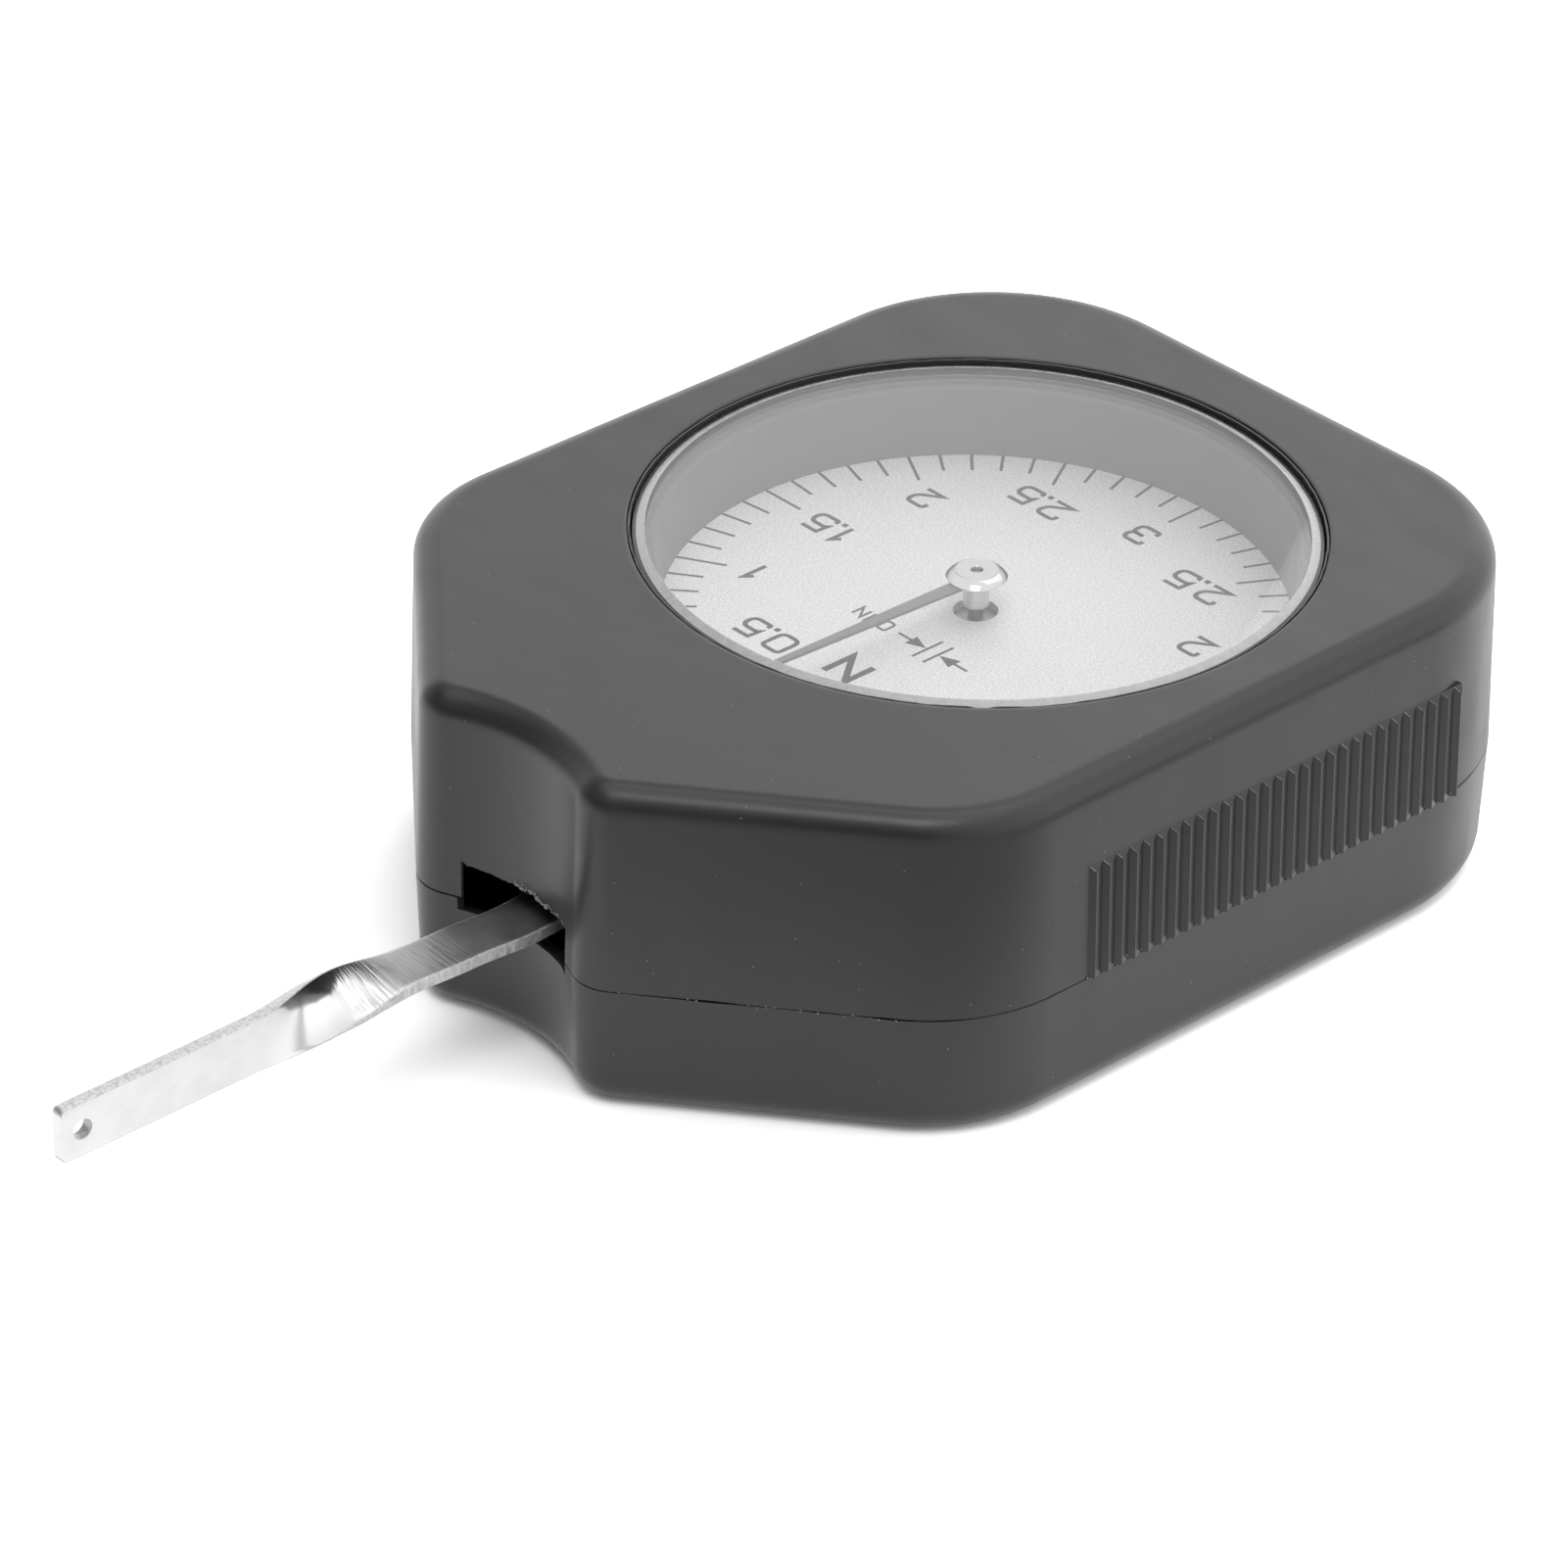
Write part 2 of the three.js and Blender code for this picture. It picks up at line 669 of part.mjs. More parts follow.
function movementScrew() {
  const shankLength = backPlateThickness + movementScrewDepth;
  return screw(movementHeadRadius, movementHeadHeight, movementScrewRadius,
    backPlateTop + movementHeadHeight, shankLength, 1);
}

function stopPinPlaces() {
  const reach = sectorRootRadius - sectorRimWidth / 2;
  const angle = sectorHalfAngle() + armSwing + (stopPinRadius + stopPinGap) / reach;
  return bothSides([reach * Math.sin(angle), reach * Math.cos(angle) - pivotReach]);
}

function stopPin() {
  return rod(stopPinRadius, backPlateBottom, pinionTop);
}

// Gears

function sectorHalfAngle() {
  return Math.PI * (sectorTeethCut + 1) / sectorWheelTeeth;
}

function polar(radius, angle) {
  return new THREE.Vector2(radius * Math.sin(angle), radius * Math.cos(angle));
}

// One tooth from its left root to its right root, about an angle counted from +Y
function tooth(teeth, angle, toothShare) {
  const pitchRadius = gearModule * teeth / 2;
  const tip = pitchRadius + gearModule * addendumShare;
  const root = pitchRadius - gearModule * dedendumShare;
  const half = Math.PI * gearModule * toothShare / 2;
  const slope = Math.tan(pressureAngle);
  const tipHalf = Math.max(half - (tip - pitchRadius) * slope, half / 3) / tip;
  const flankRoot = Math.max(root, pitchRadius * Math.cos(pressureAngle));
  const rootHalf = (half + (pitchRadius - flankRoot) * slope) / pitchRadius;
  return [
    polar(root, angle - rootHalf), polar(pitchRadius, angle - half / pitchRadius),
    polar(tip, angle - tipHalf), polar(tip, angle + tipHalf),
    polar(pitchRadius, angle + half / pitchRadius), polar(root, angle + rootHalf),
  ];
}

// The sector is drawn about the pivot, with a gap between teeth on the line of centres
function sectorGear() {
  const pitchAngle = 2 * Math.PI / sectorWheelTeeth;
  const edge = sectorHalfAngle();
  const rimInner = sectorRootRadius - sectorRimWidth;
  const teeth = Array.from({ length: sectorTeethCut }, (_, i) => (
    tooth(sectorWheelTeeth, (i - (sectorTeethCut - 1) / 2) * pitchAngle, sectorToothShare)));
  const outline = [
    polar(rimInner, -edge), polar(sectorRootRadius, -edge), ...teeth.flat(),
    polar(sectorRootRadius, edge), polar(rimInner, edge),
    ...arc(new THREE.Vector2(0, 0), rimInner, Math.PI / 2 - edge, Math.PI / 2 + edge,
      cornerSteps).slice(1, cornerSteps),
  ].reverse();
  const rim = prism(outline, sectorBottom, sectorTop);
  const spokes = [1, -1].map((side) => {
    const lean = side * (edge - sectorSpokeWidth / rimInner);
    const run = polar(rimInner + sectorRimWidth / 2, lean);
    const across = new THREE.Vector2(run.y, -run.x).normalize()
      .multiplyScalar(sectorSpokeWidth / 2);
    const corners = [
      across.clone().negate(), across.clone(), run.clone().add(across), run.clone().sub(across),
    ];
    return prism(corners, sectorBottom, sectorTop);
  });
  const hub = rod(sectorHubRadius, sectorBottom, sectorTop, [0, 0], bushSegments);
  const bore = rod(carrierSpigotRadius + fitGap, sectorBottom - overrun, sectorTop + overrun);
  return join([rim, ...spokes, hub]).subtract(bore);
}

function pinion() {
  const pitchAngle = 2 * Math.PI / pinionTeeth;
  const outline = Array.from({ length: pinionTeeth }, (_, i) => (
    tooth(pinionTeeth, Math.PI + i * pitchAngle, pinionToothShare))).flat().reverse();
  return prism(outline, sectorBottom - pinionOverhang, pinionTop,
    [circle(arborRadius + fitGap, [0, 0], smallSegments)]);
}

// Pointer group

function pointerArbor() {
  const shoulder = backBushTop + arborEndPlay;
  const upperShoulder = frontBushBottom - arborEndPlay;
  return turned([
    [0, backPlateBottom], [arborJournalRadius, backPlateBottom], [arborJournalRadius, shoulder],
    [arborRadius, shoulder], [arborRadius, upperShoulder], [arborJournalRadius, upperShoulder],
    [arborJournalRadius, hubTop - arborTipRecess], [0, hubTop - arborTipRecess],
  ]);
}

function pointerHub() {
  const capBottom = hubTop - hubHeight;
  const stemFoot = dialTop + hubStemFootAboveDial;
  const bore = arborJournalRadius + fitGap;
  return turned([
    [bore, stemFoot - hubStemTaper], [bore + fitGap, stemFoot - hubStemTaper],
    [hubStemRadius, stemFoot], [hubStemRadius, capBottom],
    [hubRimRadius, capBottom], [hubRimRadius, hubTop - hubBevelHeight],
    [hubTopRadius, hubTop], [bore, hubTop], [bore, stemFoot - hubStemTaper],
  ], bushSegments);
}

function pointerNeedle() {
  const top = hubTop - hubHeight;
  const bottom = top - needleThickness;
  const boss = rod(needleBossRadius, bottom, top);
  const length = ringOuterRadius - ringFootWidth - needleTipGap;
  const blade = prism([
    new THREE.Vector2(-needleTipHalfWidth, -length),
    new THREE.Vector2(needleTipHalfWidth, -length),
    new THREE.Vector2(needleRootHalfWidth, 0),
    new THREE.Vector2(-needleRootHalfWidth, 0),
  ], bottom, top);
  const bore = rod(hubStemRadius + fitGap, bottom - overrun, top + overrun, [0, 0],
    bushSegments);
  return join([boss, blade]).subtract(bore);
}

function hairspringCollet() {
  return sleeve(arborRadius + fitGap + collarWall, arborRadius + fitGap, hairspringBottom,
    hairspringBottom + hairspringHeight + fitGap);
}

// A flat spiral from the collet out to the stud, as one ribbon
function hairspring() {
  const inner = arborRadius + collarWall + fitGap * 2 + hairspringThickness;
  const steps = hairspringTurns * spiralSteps;
  const edge = (offset) => Array.from({ length: steps + 1 }, (_, i) => {
    const angle = 2 * Math.PI * hairspringTurns * i / steps;
    const radius = inner + (hairspringOuterRadius - inner) * i / steps + offset;
    return polar(radius, angle);
  });
  const outline = [
    ...edge(hairspringThickness / 2), ...edge(-hairspringThickness / 2).reverse(),
  ].reverse();
  return prism(outline, hairspringBottom, hairspringBottom + hairspringHeight);
}

function studPlace() {
  return [0, hairspringOuterRadius + hairspringThickness / 2 + fitGap + studRadius];
}

function hairspringStud() {
  return rod(studRadius, backPlateBottom, hairspringBottom + hairspringHeight, studPlace());
}

// Arm group, drawn about the pivot

function armStrip() {
  const rings = [];
  const addRing = (reach, angle) => {
    const across = new THREE.Vector3(Math.cos(angle), 0, -Math.sin(angle))
      .multiplyScalar(stripWidth / 2);
    const through = new THREE.Vector3(Math.sin(angle), 0, Math.cos(angle))
      .multiplyScalar(stripThickness / 2);
    const middle = new THREE.Vector3(0, pivotReach - reach, stripMiddle);
    rings.push([[-1, -1], [1, -1], [1, 1], [-1, 1]].map(([a, t]) => (
      middle.clone().addScaledVector(across, a).addScaledVector(through, t))));
  };
  addRing(pivotReach - stripTail, 0);
  for (let i = 0; i <= twistSteps; i += 1) {
    const share = i / twistSteps;
    const turn = THREE.MathUtils.smoothstep(share, 0, 1) * Math.PI / 2;
    addRing(twistStart + twistLength * share, turn);
  }
  addRing(tipReach, Math.PI / 2);
  const holes = [
    rod(shaftRadius + fitGap, stripBottom - overrun, stripTop + overrun),
    ...clampScrewPlaces().map((place) => (
      rod(clampScrewRadius + fitGap, stripBottom - overrun, stripTop + overrun, place))),
    tipHole(),
  ];
  return cut(ribbon(rings), holes);
}

// A four-sided body through rings along Y, with quads for its ends
function ribbon(rings) {
  const sides = rings[0].length;
  const faces = [];
  for (let level = 0; level + 1 < rings.length; level += 1) {
    for (let i = 0; i < sides; i += 1) {
      const a = level * sides + i;
      const b = level * sides + (i + 1) % sides;
      faces.push(a, b, b + sides, a, b + sides, a + sides);
    }
  }
  const last = (rings.length - 1) * sides;
  faces.push(0, 2, 1, 0, 3, 2, last, last + 1, last + 2, last, last + 2, last + 3);
  const positions = rings.flat().flatMap((point) => [point.x, point.y, point.z]);
  const geometry = new THREE.BufferGeometry();
  geometry.setAttribute("position", new THREE.BufferAttribute(new Float32Array(positions), 3));
  geometry.setIndex(faces);
  return toSolid(geometry);
}

function tipHole() {
  const geometry = new THREE.CylinderGeometry(
    tipHoleRadius, tipHoleRadius, stripThickness + 2 * overrun, smallSegments);
  geometry.rotateZ(Math.PI / 2);
  geometry.translate(0, pivotReach - tipReach + tipHoleInset, stripMiddle);
  return toSolid(geometry);
}

function clampScrewPlaces() {
  return [[0, -clampScrewNoseReach], [0, clampScrewTailReach]];
}

function leafPinPlaces() {
  return bothSides([leafThickness / 2 + leafPinGap + leafPinRadius, leafPinArm]);
}

function armCarrier() {
  const bar = box([-carrierHalfWidth, -carrierNoseReach, carrierBottom],
    [carrierHalfWidth, carrierTailReach, stripBottom]);
  const hub = rod(carrierHubRadius, sectorTop, carrierBottom + carrierThickness / 2, [0, 0],
    bushSegments);
  const spigot = rod(carrierSpigotRadius, sectorBottom - bushWall, sectorTop + overrun / 2);
  const bore = rod(shaftRadius + fitGap, backPlateTop, stripTop);
  const threads = clampScrewPlaces().map((place) => (
    rod(clampScrewRadius + fitGap, carrierBottom - overrun, stripTop, place)));
  return cut(join([bar, hub, spigot]), [bore, ...threads]);
}

function armClampPlate() {
  const plate = box([-carrierHalfWidth, -carrierNoseReach, stripTop],
    [carrierHalfWidth, carrierTailReach, clampPlateTop]);
  const bottom = stripTop - overrun;
  const top = clampPlateTop + overrun;
  return cut(plate, [
    rod(shaftRadius + fitGap, bottom, top),
    ...clampScrewPlaces().map((place) => rod(clampScrewRadius + fitGap, bottom, top, place)),
    ...leafPinPlaces().map((place) => rod(leafPinRadius + fitGap, bottom, top, place)),
  ]);
}

function armClampScrew() {
  return screw(clampScrewHeadRadius, clampScrewHeadHeight, clampScrewRadius,
    clampPlateTop + clampScrewHeadHeight, clampPlateTop - carrierBottom, 1);
}

function leafPin() {
  return rod(leafPinRadius, stripTop + fitGap, leafTop);
}

function pivotShaft() {
  const collarBottom = clampPlateTop + fitGap;
  const collarTop = frontBushBottom - arborEndPlay;
  return turned([
    [0, backPlateBottom - bushProud], [shaftRadius, backPlateBottom - bushProud],
    [shaftRadius, collarBottom], [shaftCollarRadius, collarBottom],
    [shaftCollarRadius, collarTop], [shaftRadius, collarTop],
    [shaftRadius, dialBottom + bushProud], [0, dialBottom + bushProud],
  ]);
}

// Bushes, one pair for the arbor and one for the pivot shaft

function bush(outer, inner, plateBottom, plateTop, place) {
  return sleeve(outer, inner, plateBottom - bushProud, plateTop + bushProud, place,
    bushSegments);
}

function arborBush(plateBottom, plateTop) {
  return bush(arborBushRadius, arborJournalRadius + arborRunningGap, plateBottom, plateTop,
    [0, 0]);
}

function pivotBush(plateBottom, plateTop) {
  return bush(shaftBushRadius, shaftRadius + shaftRunningGap, plateBottom, plateTop,
    [0, -pivotReach]);
}

// Measuring spring

function springBlock() {
  const block = box([-blockHalfWidth, -blockFarReach, leafBottom - blockWall],
    [blockHalfWidth, -blockNearReach, frontPlateBottom]);
  const slit = box(
    [-leafThickness / 2 - fitGap, -blockFarReach - overrun, leafBottom - blockWall - overrun],
    [leafThickness / 2 + fitGap, -blockNearReach - blockWall, leafTop + fitGap]);
  const threads = blockScrewPlaces.map((place) => rod(blockScrewRadius + fitGap,
    frontPlateBottom - blockScrewDepth - fitGap, frontPlateBottom + overrun, place));
  return cut(block, [slit, ...threads]);
}

function measuringSpring() {
  return box([-leafThickness / 2, -leafPinReach - leafPastPins, leafBottom],
    [leafThickness / 2, -blockNearReach - blockWall - fitGap, leafTop]);
}

function springBlockScrew() {
  const headFace = dialBottom - fitGap / 2;
  const shankLength = headFace - blockScrewHeadHeight - frontPlateBottom + blockScrewDepth;
  return screw(blockScrewHeadRadius, blockScrewHeadHeight, blockScrewRadius, headFace,
    shankLength, 1);
}

// Materials

function material(color, roughness, metalness) {
  return new THREE.MeshStandardMaterial({ color, roughness, metalness });
}

const casePlastic = material(0x3f4042, 0.55, 0);
const clearPlastic = new THREE.MeshStandardMaterial({
  color: 0xf2f5f7, roughness: 0.05, metalness: 0, transparent: true, opacity: 0.25,
});
const ringPlastic = material(0x9a9b9d, 0.25, 0);
const dialSilver = material(0xdcdcda, 0.45, 0.3);
const steel = material(0xc9cacc, 0.3, 1);
const blackenedSteel = material(0x36373a, 0.45, 1);
const brass = material(0xc2a35a, 0.35, 1);
const platedBrass = material(0x9c9b98, 0.35, 1);
const springSteel = material(0x8d9096, 0.3, 1);
const needlePaint = material(0x6c6d6f, 0.5, 0);
const nickel = material(0xdedfe0, 0.15, 1);

// Assembly

const gauge = new THREE.Group();
gauge.add(
  node("case_front", caseFront(), casePlastic.clone()),
  node("case_back", caseBack(), casePlastic.clone()),
  ...copies("case_screw", caseScrewPlaces, caseScrew(), steel),
  node("window_lens", windowLens(), clearPlastic.clone()),
  node("dial_ring", dialRing(), ringPlastic.clone()),
  node("dial_plate", dialPlate(), dialSilver.clone()),
  ...copies("dial_foot", dialFootPlaces, dialFoot(), brass),
  node("front_plate", frontPlate(), platedBrass.clone()),
  node("back_plate", backPlate(), brass.clone()),
  ...copies("plate_pillar", pillarPlaces, platePillar(), brass),
  ...copies("pillar_screw", pillarPlaces, pillarScrew(), steel),
  ...copies("movement_screw", movementScrewPlaces, movementScrew(), steel),
  ...copies("stop_pin", stopPinPlaces(), stopPin(), steel),
  node("arbor_bush_front", arborBush(frontPlateBottom, dialBottom - bushProud),
    platedBrass.clone()),
  node("arbor_bush_back", arborBush(backPlateBottom, backPlateTop), brass.clone()),
  node("pivot_bush_front", pivotBush(frontPlateBottom, dialBottom - bushProud), brass.clone()),
  node("pivot_bush_back", pivotBush(backPlateBottom, backPlateTop), brass.clone()),
  node("hairspring_stud", hairspringStud(), steel.clone()),
  node("spring_block", springBlock(), brass.clone()),
  ...copies("spring_block_screw", blockScrewPlaces, springBlockScrew(), steel),
  node("measuring_spring", measuringSpring(), springSteel.clone()),
);

const pointer = new THREE.Group();
const needle = node("pointer_needle", pointerNeedle(), needlePaint.clone());
needle.rotation.z = needleRestAngle;
pointer.add(
  node("pointer_arbor", pointerArbor(), blackenedSteel.clone()),
  node("pointer_pinion", pinion(), brass.clone()),
  node("pointer_hub", pointerHub(), nickel.clone()),
  needle,
  node("hairspring_collet", hairspringCollet(), brass.clone()),
  node("hairspring", hairspring(), springSteel.clone()),
);

const arm = new THREE.Group();
arm.position.set(0, -pivotReach, 0);
arm.add(
  node("pivot_shaft", pivotShaft(), steel.clone()),
  node("arm_carrier", armCarrier(), blackenedSteel.clone()),
  node("arm_strip", armStrip(), steel.clone()),
  node("arm_clamp_plate", armClampPlate(), blackenedSteel.clone()),
  ...copies("arm_clamp_screw", clampScrewPlaces(), armClampScrew(), blackenedSteel),
  ...copies("spring_pin", leafPinPlaces(), leafPin(), steel),
  node("sector_gear", sectorGear(), brass.clone()),
);

gauge.add(arm, pointer);

export default gauge;
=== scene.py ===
import json
import math
import random

import bmesh
import bpy
from mathutils import Matrix, Vector
from mathutils import noise as fields


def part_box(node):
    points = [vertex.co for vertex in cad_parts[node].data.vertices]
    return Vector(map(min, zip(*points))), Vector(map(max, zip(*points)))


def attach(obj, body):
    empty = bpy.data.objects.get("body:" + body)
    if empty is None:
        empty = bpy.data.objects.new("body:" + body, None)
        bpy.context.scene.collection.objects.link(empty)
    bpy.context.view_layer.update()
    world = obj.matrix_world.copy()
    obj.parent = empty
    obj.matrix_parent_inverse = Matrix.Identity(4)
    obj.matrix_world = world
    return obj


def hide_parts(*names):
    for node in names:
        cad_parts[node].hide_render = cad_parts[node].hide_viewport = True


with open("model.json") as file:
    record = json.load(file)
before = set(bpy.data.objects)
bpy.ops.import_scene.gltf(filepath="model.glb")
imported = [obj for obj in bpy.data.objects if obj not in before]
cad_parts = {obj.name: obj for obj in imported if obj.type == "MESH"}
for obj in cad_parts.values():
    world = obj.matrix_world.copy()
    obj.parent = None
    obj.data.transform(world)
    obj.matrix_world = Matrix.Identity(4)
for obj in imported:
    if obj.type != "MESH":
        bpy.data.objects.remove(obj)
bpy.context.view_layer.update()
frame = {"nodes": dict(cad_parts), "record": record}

MM = 0.001


def cad_span(node):
    """The lowest and highest corner of a node of the frame, in millimetres."""
    low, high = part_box(node)
    return low / MM, high / MM


# Heights and reaches taken from the frame
BACK_HIGH = cad_span("case_back")[1]
FRONT_HIGH = cad_span("case_front")[1]
DIAL_LOW, DIAL_HIGH = cad_span("dial_plate")
RING_LOW, RING_HIGH = cad_span("dial_ring")
LENS_LOW, LENS_HIGH = cad_span("window_lens")
HUB_LOW, HUB_HIGH = cad_span("pointer_hub")
NEEDLE_LOW, NEEDLE_HIGH = cad_span("pointer_needle")
ARBOR_LOW, ARBOR_HIGH = cad_span("pointer_arbor")
STRIP_LOW, STRIP_HIGH = cad_span("arm_strip")
SCREW_LOW, SCREW_HIGH = cad_span("case_screw_1")
SHAFT_LOW, SHAFT_HIGH = cad_span("pivot_shaft")
PARTING = BACK_HIGH.z
CASE_TOP = FRONT_HIGH.z
DIAL_TOP = DIAL_HIGH.z
HALF_WIDTH = BACK_HIGH.x
BACK_REACH = BACK_HIGH.y

# Case outline at the parting line
NOSE_CORNER_REACH = 45.4
NOSE_CORNER_HALF_WIDTH = 8.4
CHAMFER_RUN = 17.8
BACK_CORNER_RADIUS = 16.5
SIDE_CORNER_RADIUS = 13.0
NOSE_CORNER_RADIUS = 3.4
SCOOP_RADIUS = 15.8
SCOOP_DEPTH = 2.6
OUTLINE_STEP = 0.5
CHAMFER_STEP = 0.6
STRAIGHT_STEP = 1.6

# Case section
CASE_WALL = 2.0
TOP_EDGE_RADIUS = 1.95
BOTTOM_EDGE_RADIUS = 2.2
TOP_DRAFT = 0.38
BOTTOM_DRAFT = 0.34
EDGE_STEPS = 14
EDGE_SUPPORT = 0.25
SLIT_DEPTH = 0.5
SLIT_HALF_WIDTH = 0.035
SLIT_EASE = 0.04
SLIT_CHIPS = ((15.5, -39.7), (25.4, -31.7))
SLIT_CHIP_RUN = 1.5
SLIT_CHIP_GAPE = 1.1
SLIT_LEAST = 0.15
OPENING_RADIUS = 25.1
OPENING_EDGE = 0.1
OPENING_EDGE_STEPS = 4
LEDGE_OUTER_RADIUS = 24.98
LEDGE_INNER_RADIUS = 24.85
LEDGE_DROP = 0.07
LEDGE_DEPTH = 0.5
LEDGE_WANDER = 0.05
WELL_WALL = 1.4
WELL_FOOT_GAP = 0.2

# Grip ribs
RIB_PITCH = 1.285
RIB_HEIGHT = 9.0
RIB_DEPTH = 0.39
RIB_CREST_SHARE = 0.29
RIB_CAP_DROP = 0.45
RIB_START_GAP = 3.26
RIB_COUNT = 29
RIB_ROOT_DEPTH = 1.2
RIB_FOOT_GAP = 0.05
RIB_END_RUN = 0.35
RIB_CREST = ((-0.05, 0.04), (0.0, 0.0), (0.075, 0.02))
# Width of the light sliver that paints the highlight on each rib's slanting edge
RIB_HIGHLIGHT_WIDTH = 0.055

# Slot for the arm
SLOT_HALF_WIDTH = 5.5
SLOT_ABOVE_PARTING = 2.8
SLOT_LIP = 0.22
SLOT_FLARE = 4.6
SLOT_RELIEF_MARGIN = 1.0
NOTCH_LEFT_DEPTH = 1.0
NOTCH_RIGHT_DEPTH = 0.65
SLOT_STEP = 0.16
SLOT_RAGGEDNESS = 0.06
SLOT_DRIFT_KEPT = 0.6
SLOT_DENTS = ((0.9, 0.5, 0.28), (-5.5, 0.3, 0.2), (-0.9, 0.3, 0.14))
NOTCH_RAGGEDNESS = 0.02
NOTCH_LEFT_EXTRA = 0.3
NOTCH_DENTS = ((5.5, 0.35, -0.35),)
MOULD_LINE_HEIGHT = 4.6
MOULD_LINE_WIDTH = 0.09
MOULD_LINE_DEPTH = 0.09

# Bosses and screws
CASE_BOSS_RADIUS = 3.3
CASE_SCREW_RADIUS = 1.15
CASE_SCREW_HEAD_RADIUS = 2.1
CASE_SCREW_HEAD_HEIGHT = 1.5
MOVEMENT_BOSS_RADIUS = 2.4
MOVEMENT_THREAD_RADIUS = 0.95
MOVEMENT_THREAD_DEPTH = 2.05
BACK_PLATE_STANDOFF = 1.0
DRIVE_SLOT_WIDTH = 0.5
DRIVE_SLOT_DEPTH = 0.6
SCREW_TURN_PER_MM = 2.3
FIT_GAP = 0.05
OVERRUN = 1.0
WELD_DISTANCE = 0.0005
ON_AXIS = 1e-9

# Torn plastic: how many lumps, how large, and how they spread on the slot, the slit and the ribs
BURR_SIZES = (0.07, 0.17)
CRUMB_SIZES = (0.03, 0.07)
LUMP_STRETCHES = ((0.7, 1.6), (0.5, 0.9), (0.6, 1.2))
LUMP_SWELL = 0.5
LUMP_WAVES = 1.8
LUMP_PROUD = 0.05
SLOT_BURRS = 30
SLOT_BURR_SPAN = (-0.9, 2.7)
SLOT_BURR_RISE = (-0.05, 0.12)
SLOT_CRUMBS = 40
SLOT_CRUMB_SPAN = (-1.5, SLOT_HALF_WIDTH + 0.25)
SLOT_CRUMB_RISE = 0.5
SIDE_CRUMB_DROP = 1.5
SIDE_CRUMB_RISE = 5.5
SLIT_CRUMBS = 24
SLIT_CRUMB_RISE = (0.02, 0.12)
RIB_CRUMBS = 22
RIB_CRUMB_SHIFT = (-0.4, 0.1)
RIB_CRUMB_SPREAD = 0.2
# Light slivers on the ribs' slanting edges, a painted highlight: their thickness, and where along
# the edge they start and end
HIGHLIGHT_SLIVER_THICKNESS = (0.6, 1.2)
HIGHLIGHT_SLIVER_FOOT = (0.75, 0.95)
HIGHLIGHT_SLIVER_TOP = (0.0, 0.15)

# Window and ring
LENS_RADIUS = LENS_HIGH.x
LENS_EDGE_DROP = 0.38
LENS_SHOULDER_RADIUS = 24.7
LENS_SHOULDER_DROP = 0.29
LENS_BEVEL_OUTER_RADIUS = 24.42
LENS_BEVEL_INNER_RADIUS = 23.8
LENS_BEVEL_DROP = 0.24
GATE_AZIMUTH = math.radians(-43)
GATE_HALF_WIDTH = 0.65
GATE_SWELL = 0.16
RING_OUTER_RADIUS = RING_HIGH.x
RING_FOOT_RADIUS = 22.7
RING_NECK_RADIUS = 23.1
RING_LIP_RADIUS = 23.6
RING_LIP_HEIGHT = 0.8
RING_LIP_EASE = 0.16
RING_AIR_GAP = 0.03

# Dial and its print
DIAL_HOLE_RADIUS = 1.62
TICK_WIDTH = 0.24
PRINT_SHIFT = Vector((0.12, 0.28))
TICK_LONG_RADIUS = 19.1
TICK_SHORT_RADIUS = 20.3
TICK_OUTER_RADIUS = 23.2
TICK_COUNT = 60
TICKS_PER_NUMBER = 5
NUMBER_RADIUS = 16.3
NUMBER_HEIGHT = 2.6
DIGIT_WIDTH = 2.08
DIGIT_STROKE = 0.37
DIGIT_GAP = 0.26
POINT_WIDTH_SHARE = 1.2
INK_TOP = DIAL_TOP + 0.012
INK_LEAST_STEP = 1e-4
INK_MITRE_LIMIT = 0.35

# Pointer
HUB_TOP_RADIUS = 1.6
HUB_RIM_RADIUS = 2.23
HUB_HEIGHT = 0.6
HUB_STEM_RADIUS = 0.95
HUB_HOLE_RADIUS = 0.45
HUB_STEM_TAPER = 0.3
HUB_GROOVE = 0.025
HUB_BEVEL_STEPS = 10
HUB_SEGMENTS = 144
HUB_BEVEL_TILTS = (math.radians(23), math.radians(50))
ARBOR_JOURNAL_RADIUS = 0.55
ARBOR_BODY_RADIUS = 0.9
ARBOR_END_PLAY = 0.1
NEEDLE_ANGLE = math.radians(-2)
NEEDLE_ROOT_HALF_WIDTH = 0.6014
NEEDLE_BOSS_RADIUS = 1.73
NEEDLE_TIP_HALF_WIDTH = 0.27
NEEDLE_END_HALF_WIDTH = 0.162
NEEDLE_TAPER_SHARES = (0.0, 0.5, 0.98)
NEEDLE_BOSS_STEPS = 48
NEEDLE_EDGE = 0.04

# Arm
STRIP_WIDTH = 4.3
STRIP_THICKNESS = 0.95
STRIP_MIDDLE = 10.4
TWIST_START = 52.5
TWIST_END = 67.0
STRIP_CORNER = 0.13
STRIP_FLAT_STEPS = 14
STRIP_EDGE_STEPS = 3
STRIP_CORNER_STEPS = 4
STRIP_STEP = 0.5
TWIST_STEP = 0.2
STRIP_BENDS = ((38.0, 0.0), (44.0, 0.4), (49.0, 0.05), (57.0, -0.4), (68.0, -0.05), (76.0, 0.0))
FINE_SPAN = (NOSE_CORNER_REACH - 3, TWIST_END + 2)
EDGE_NICKS = 0.07
NICK_LEVEL = 0.15
TIP_CORNER = 0.45
TIP_STEPS = 7
TIP_HOLE_RADIUS = 0.78
TIP_HOLE_INSET = 1.75

ROUND_SEGMENTS = 256
SMALL_SEGMENTS = 72

# How upright the normal of a face is, for choosing its material
FLAT_NORMAL = 0.99
TILTED_NORMAL = 0.9
UPWARD_NORMAL = 0.5


# Mesh helpers

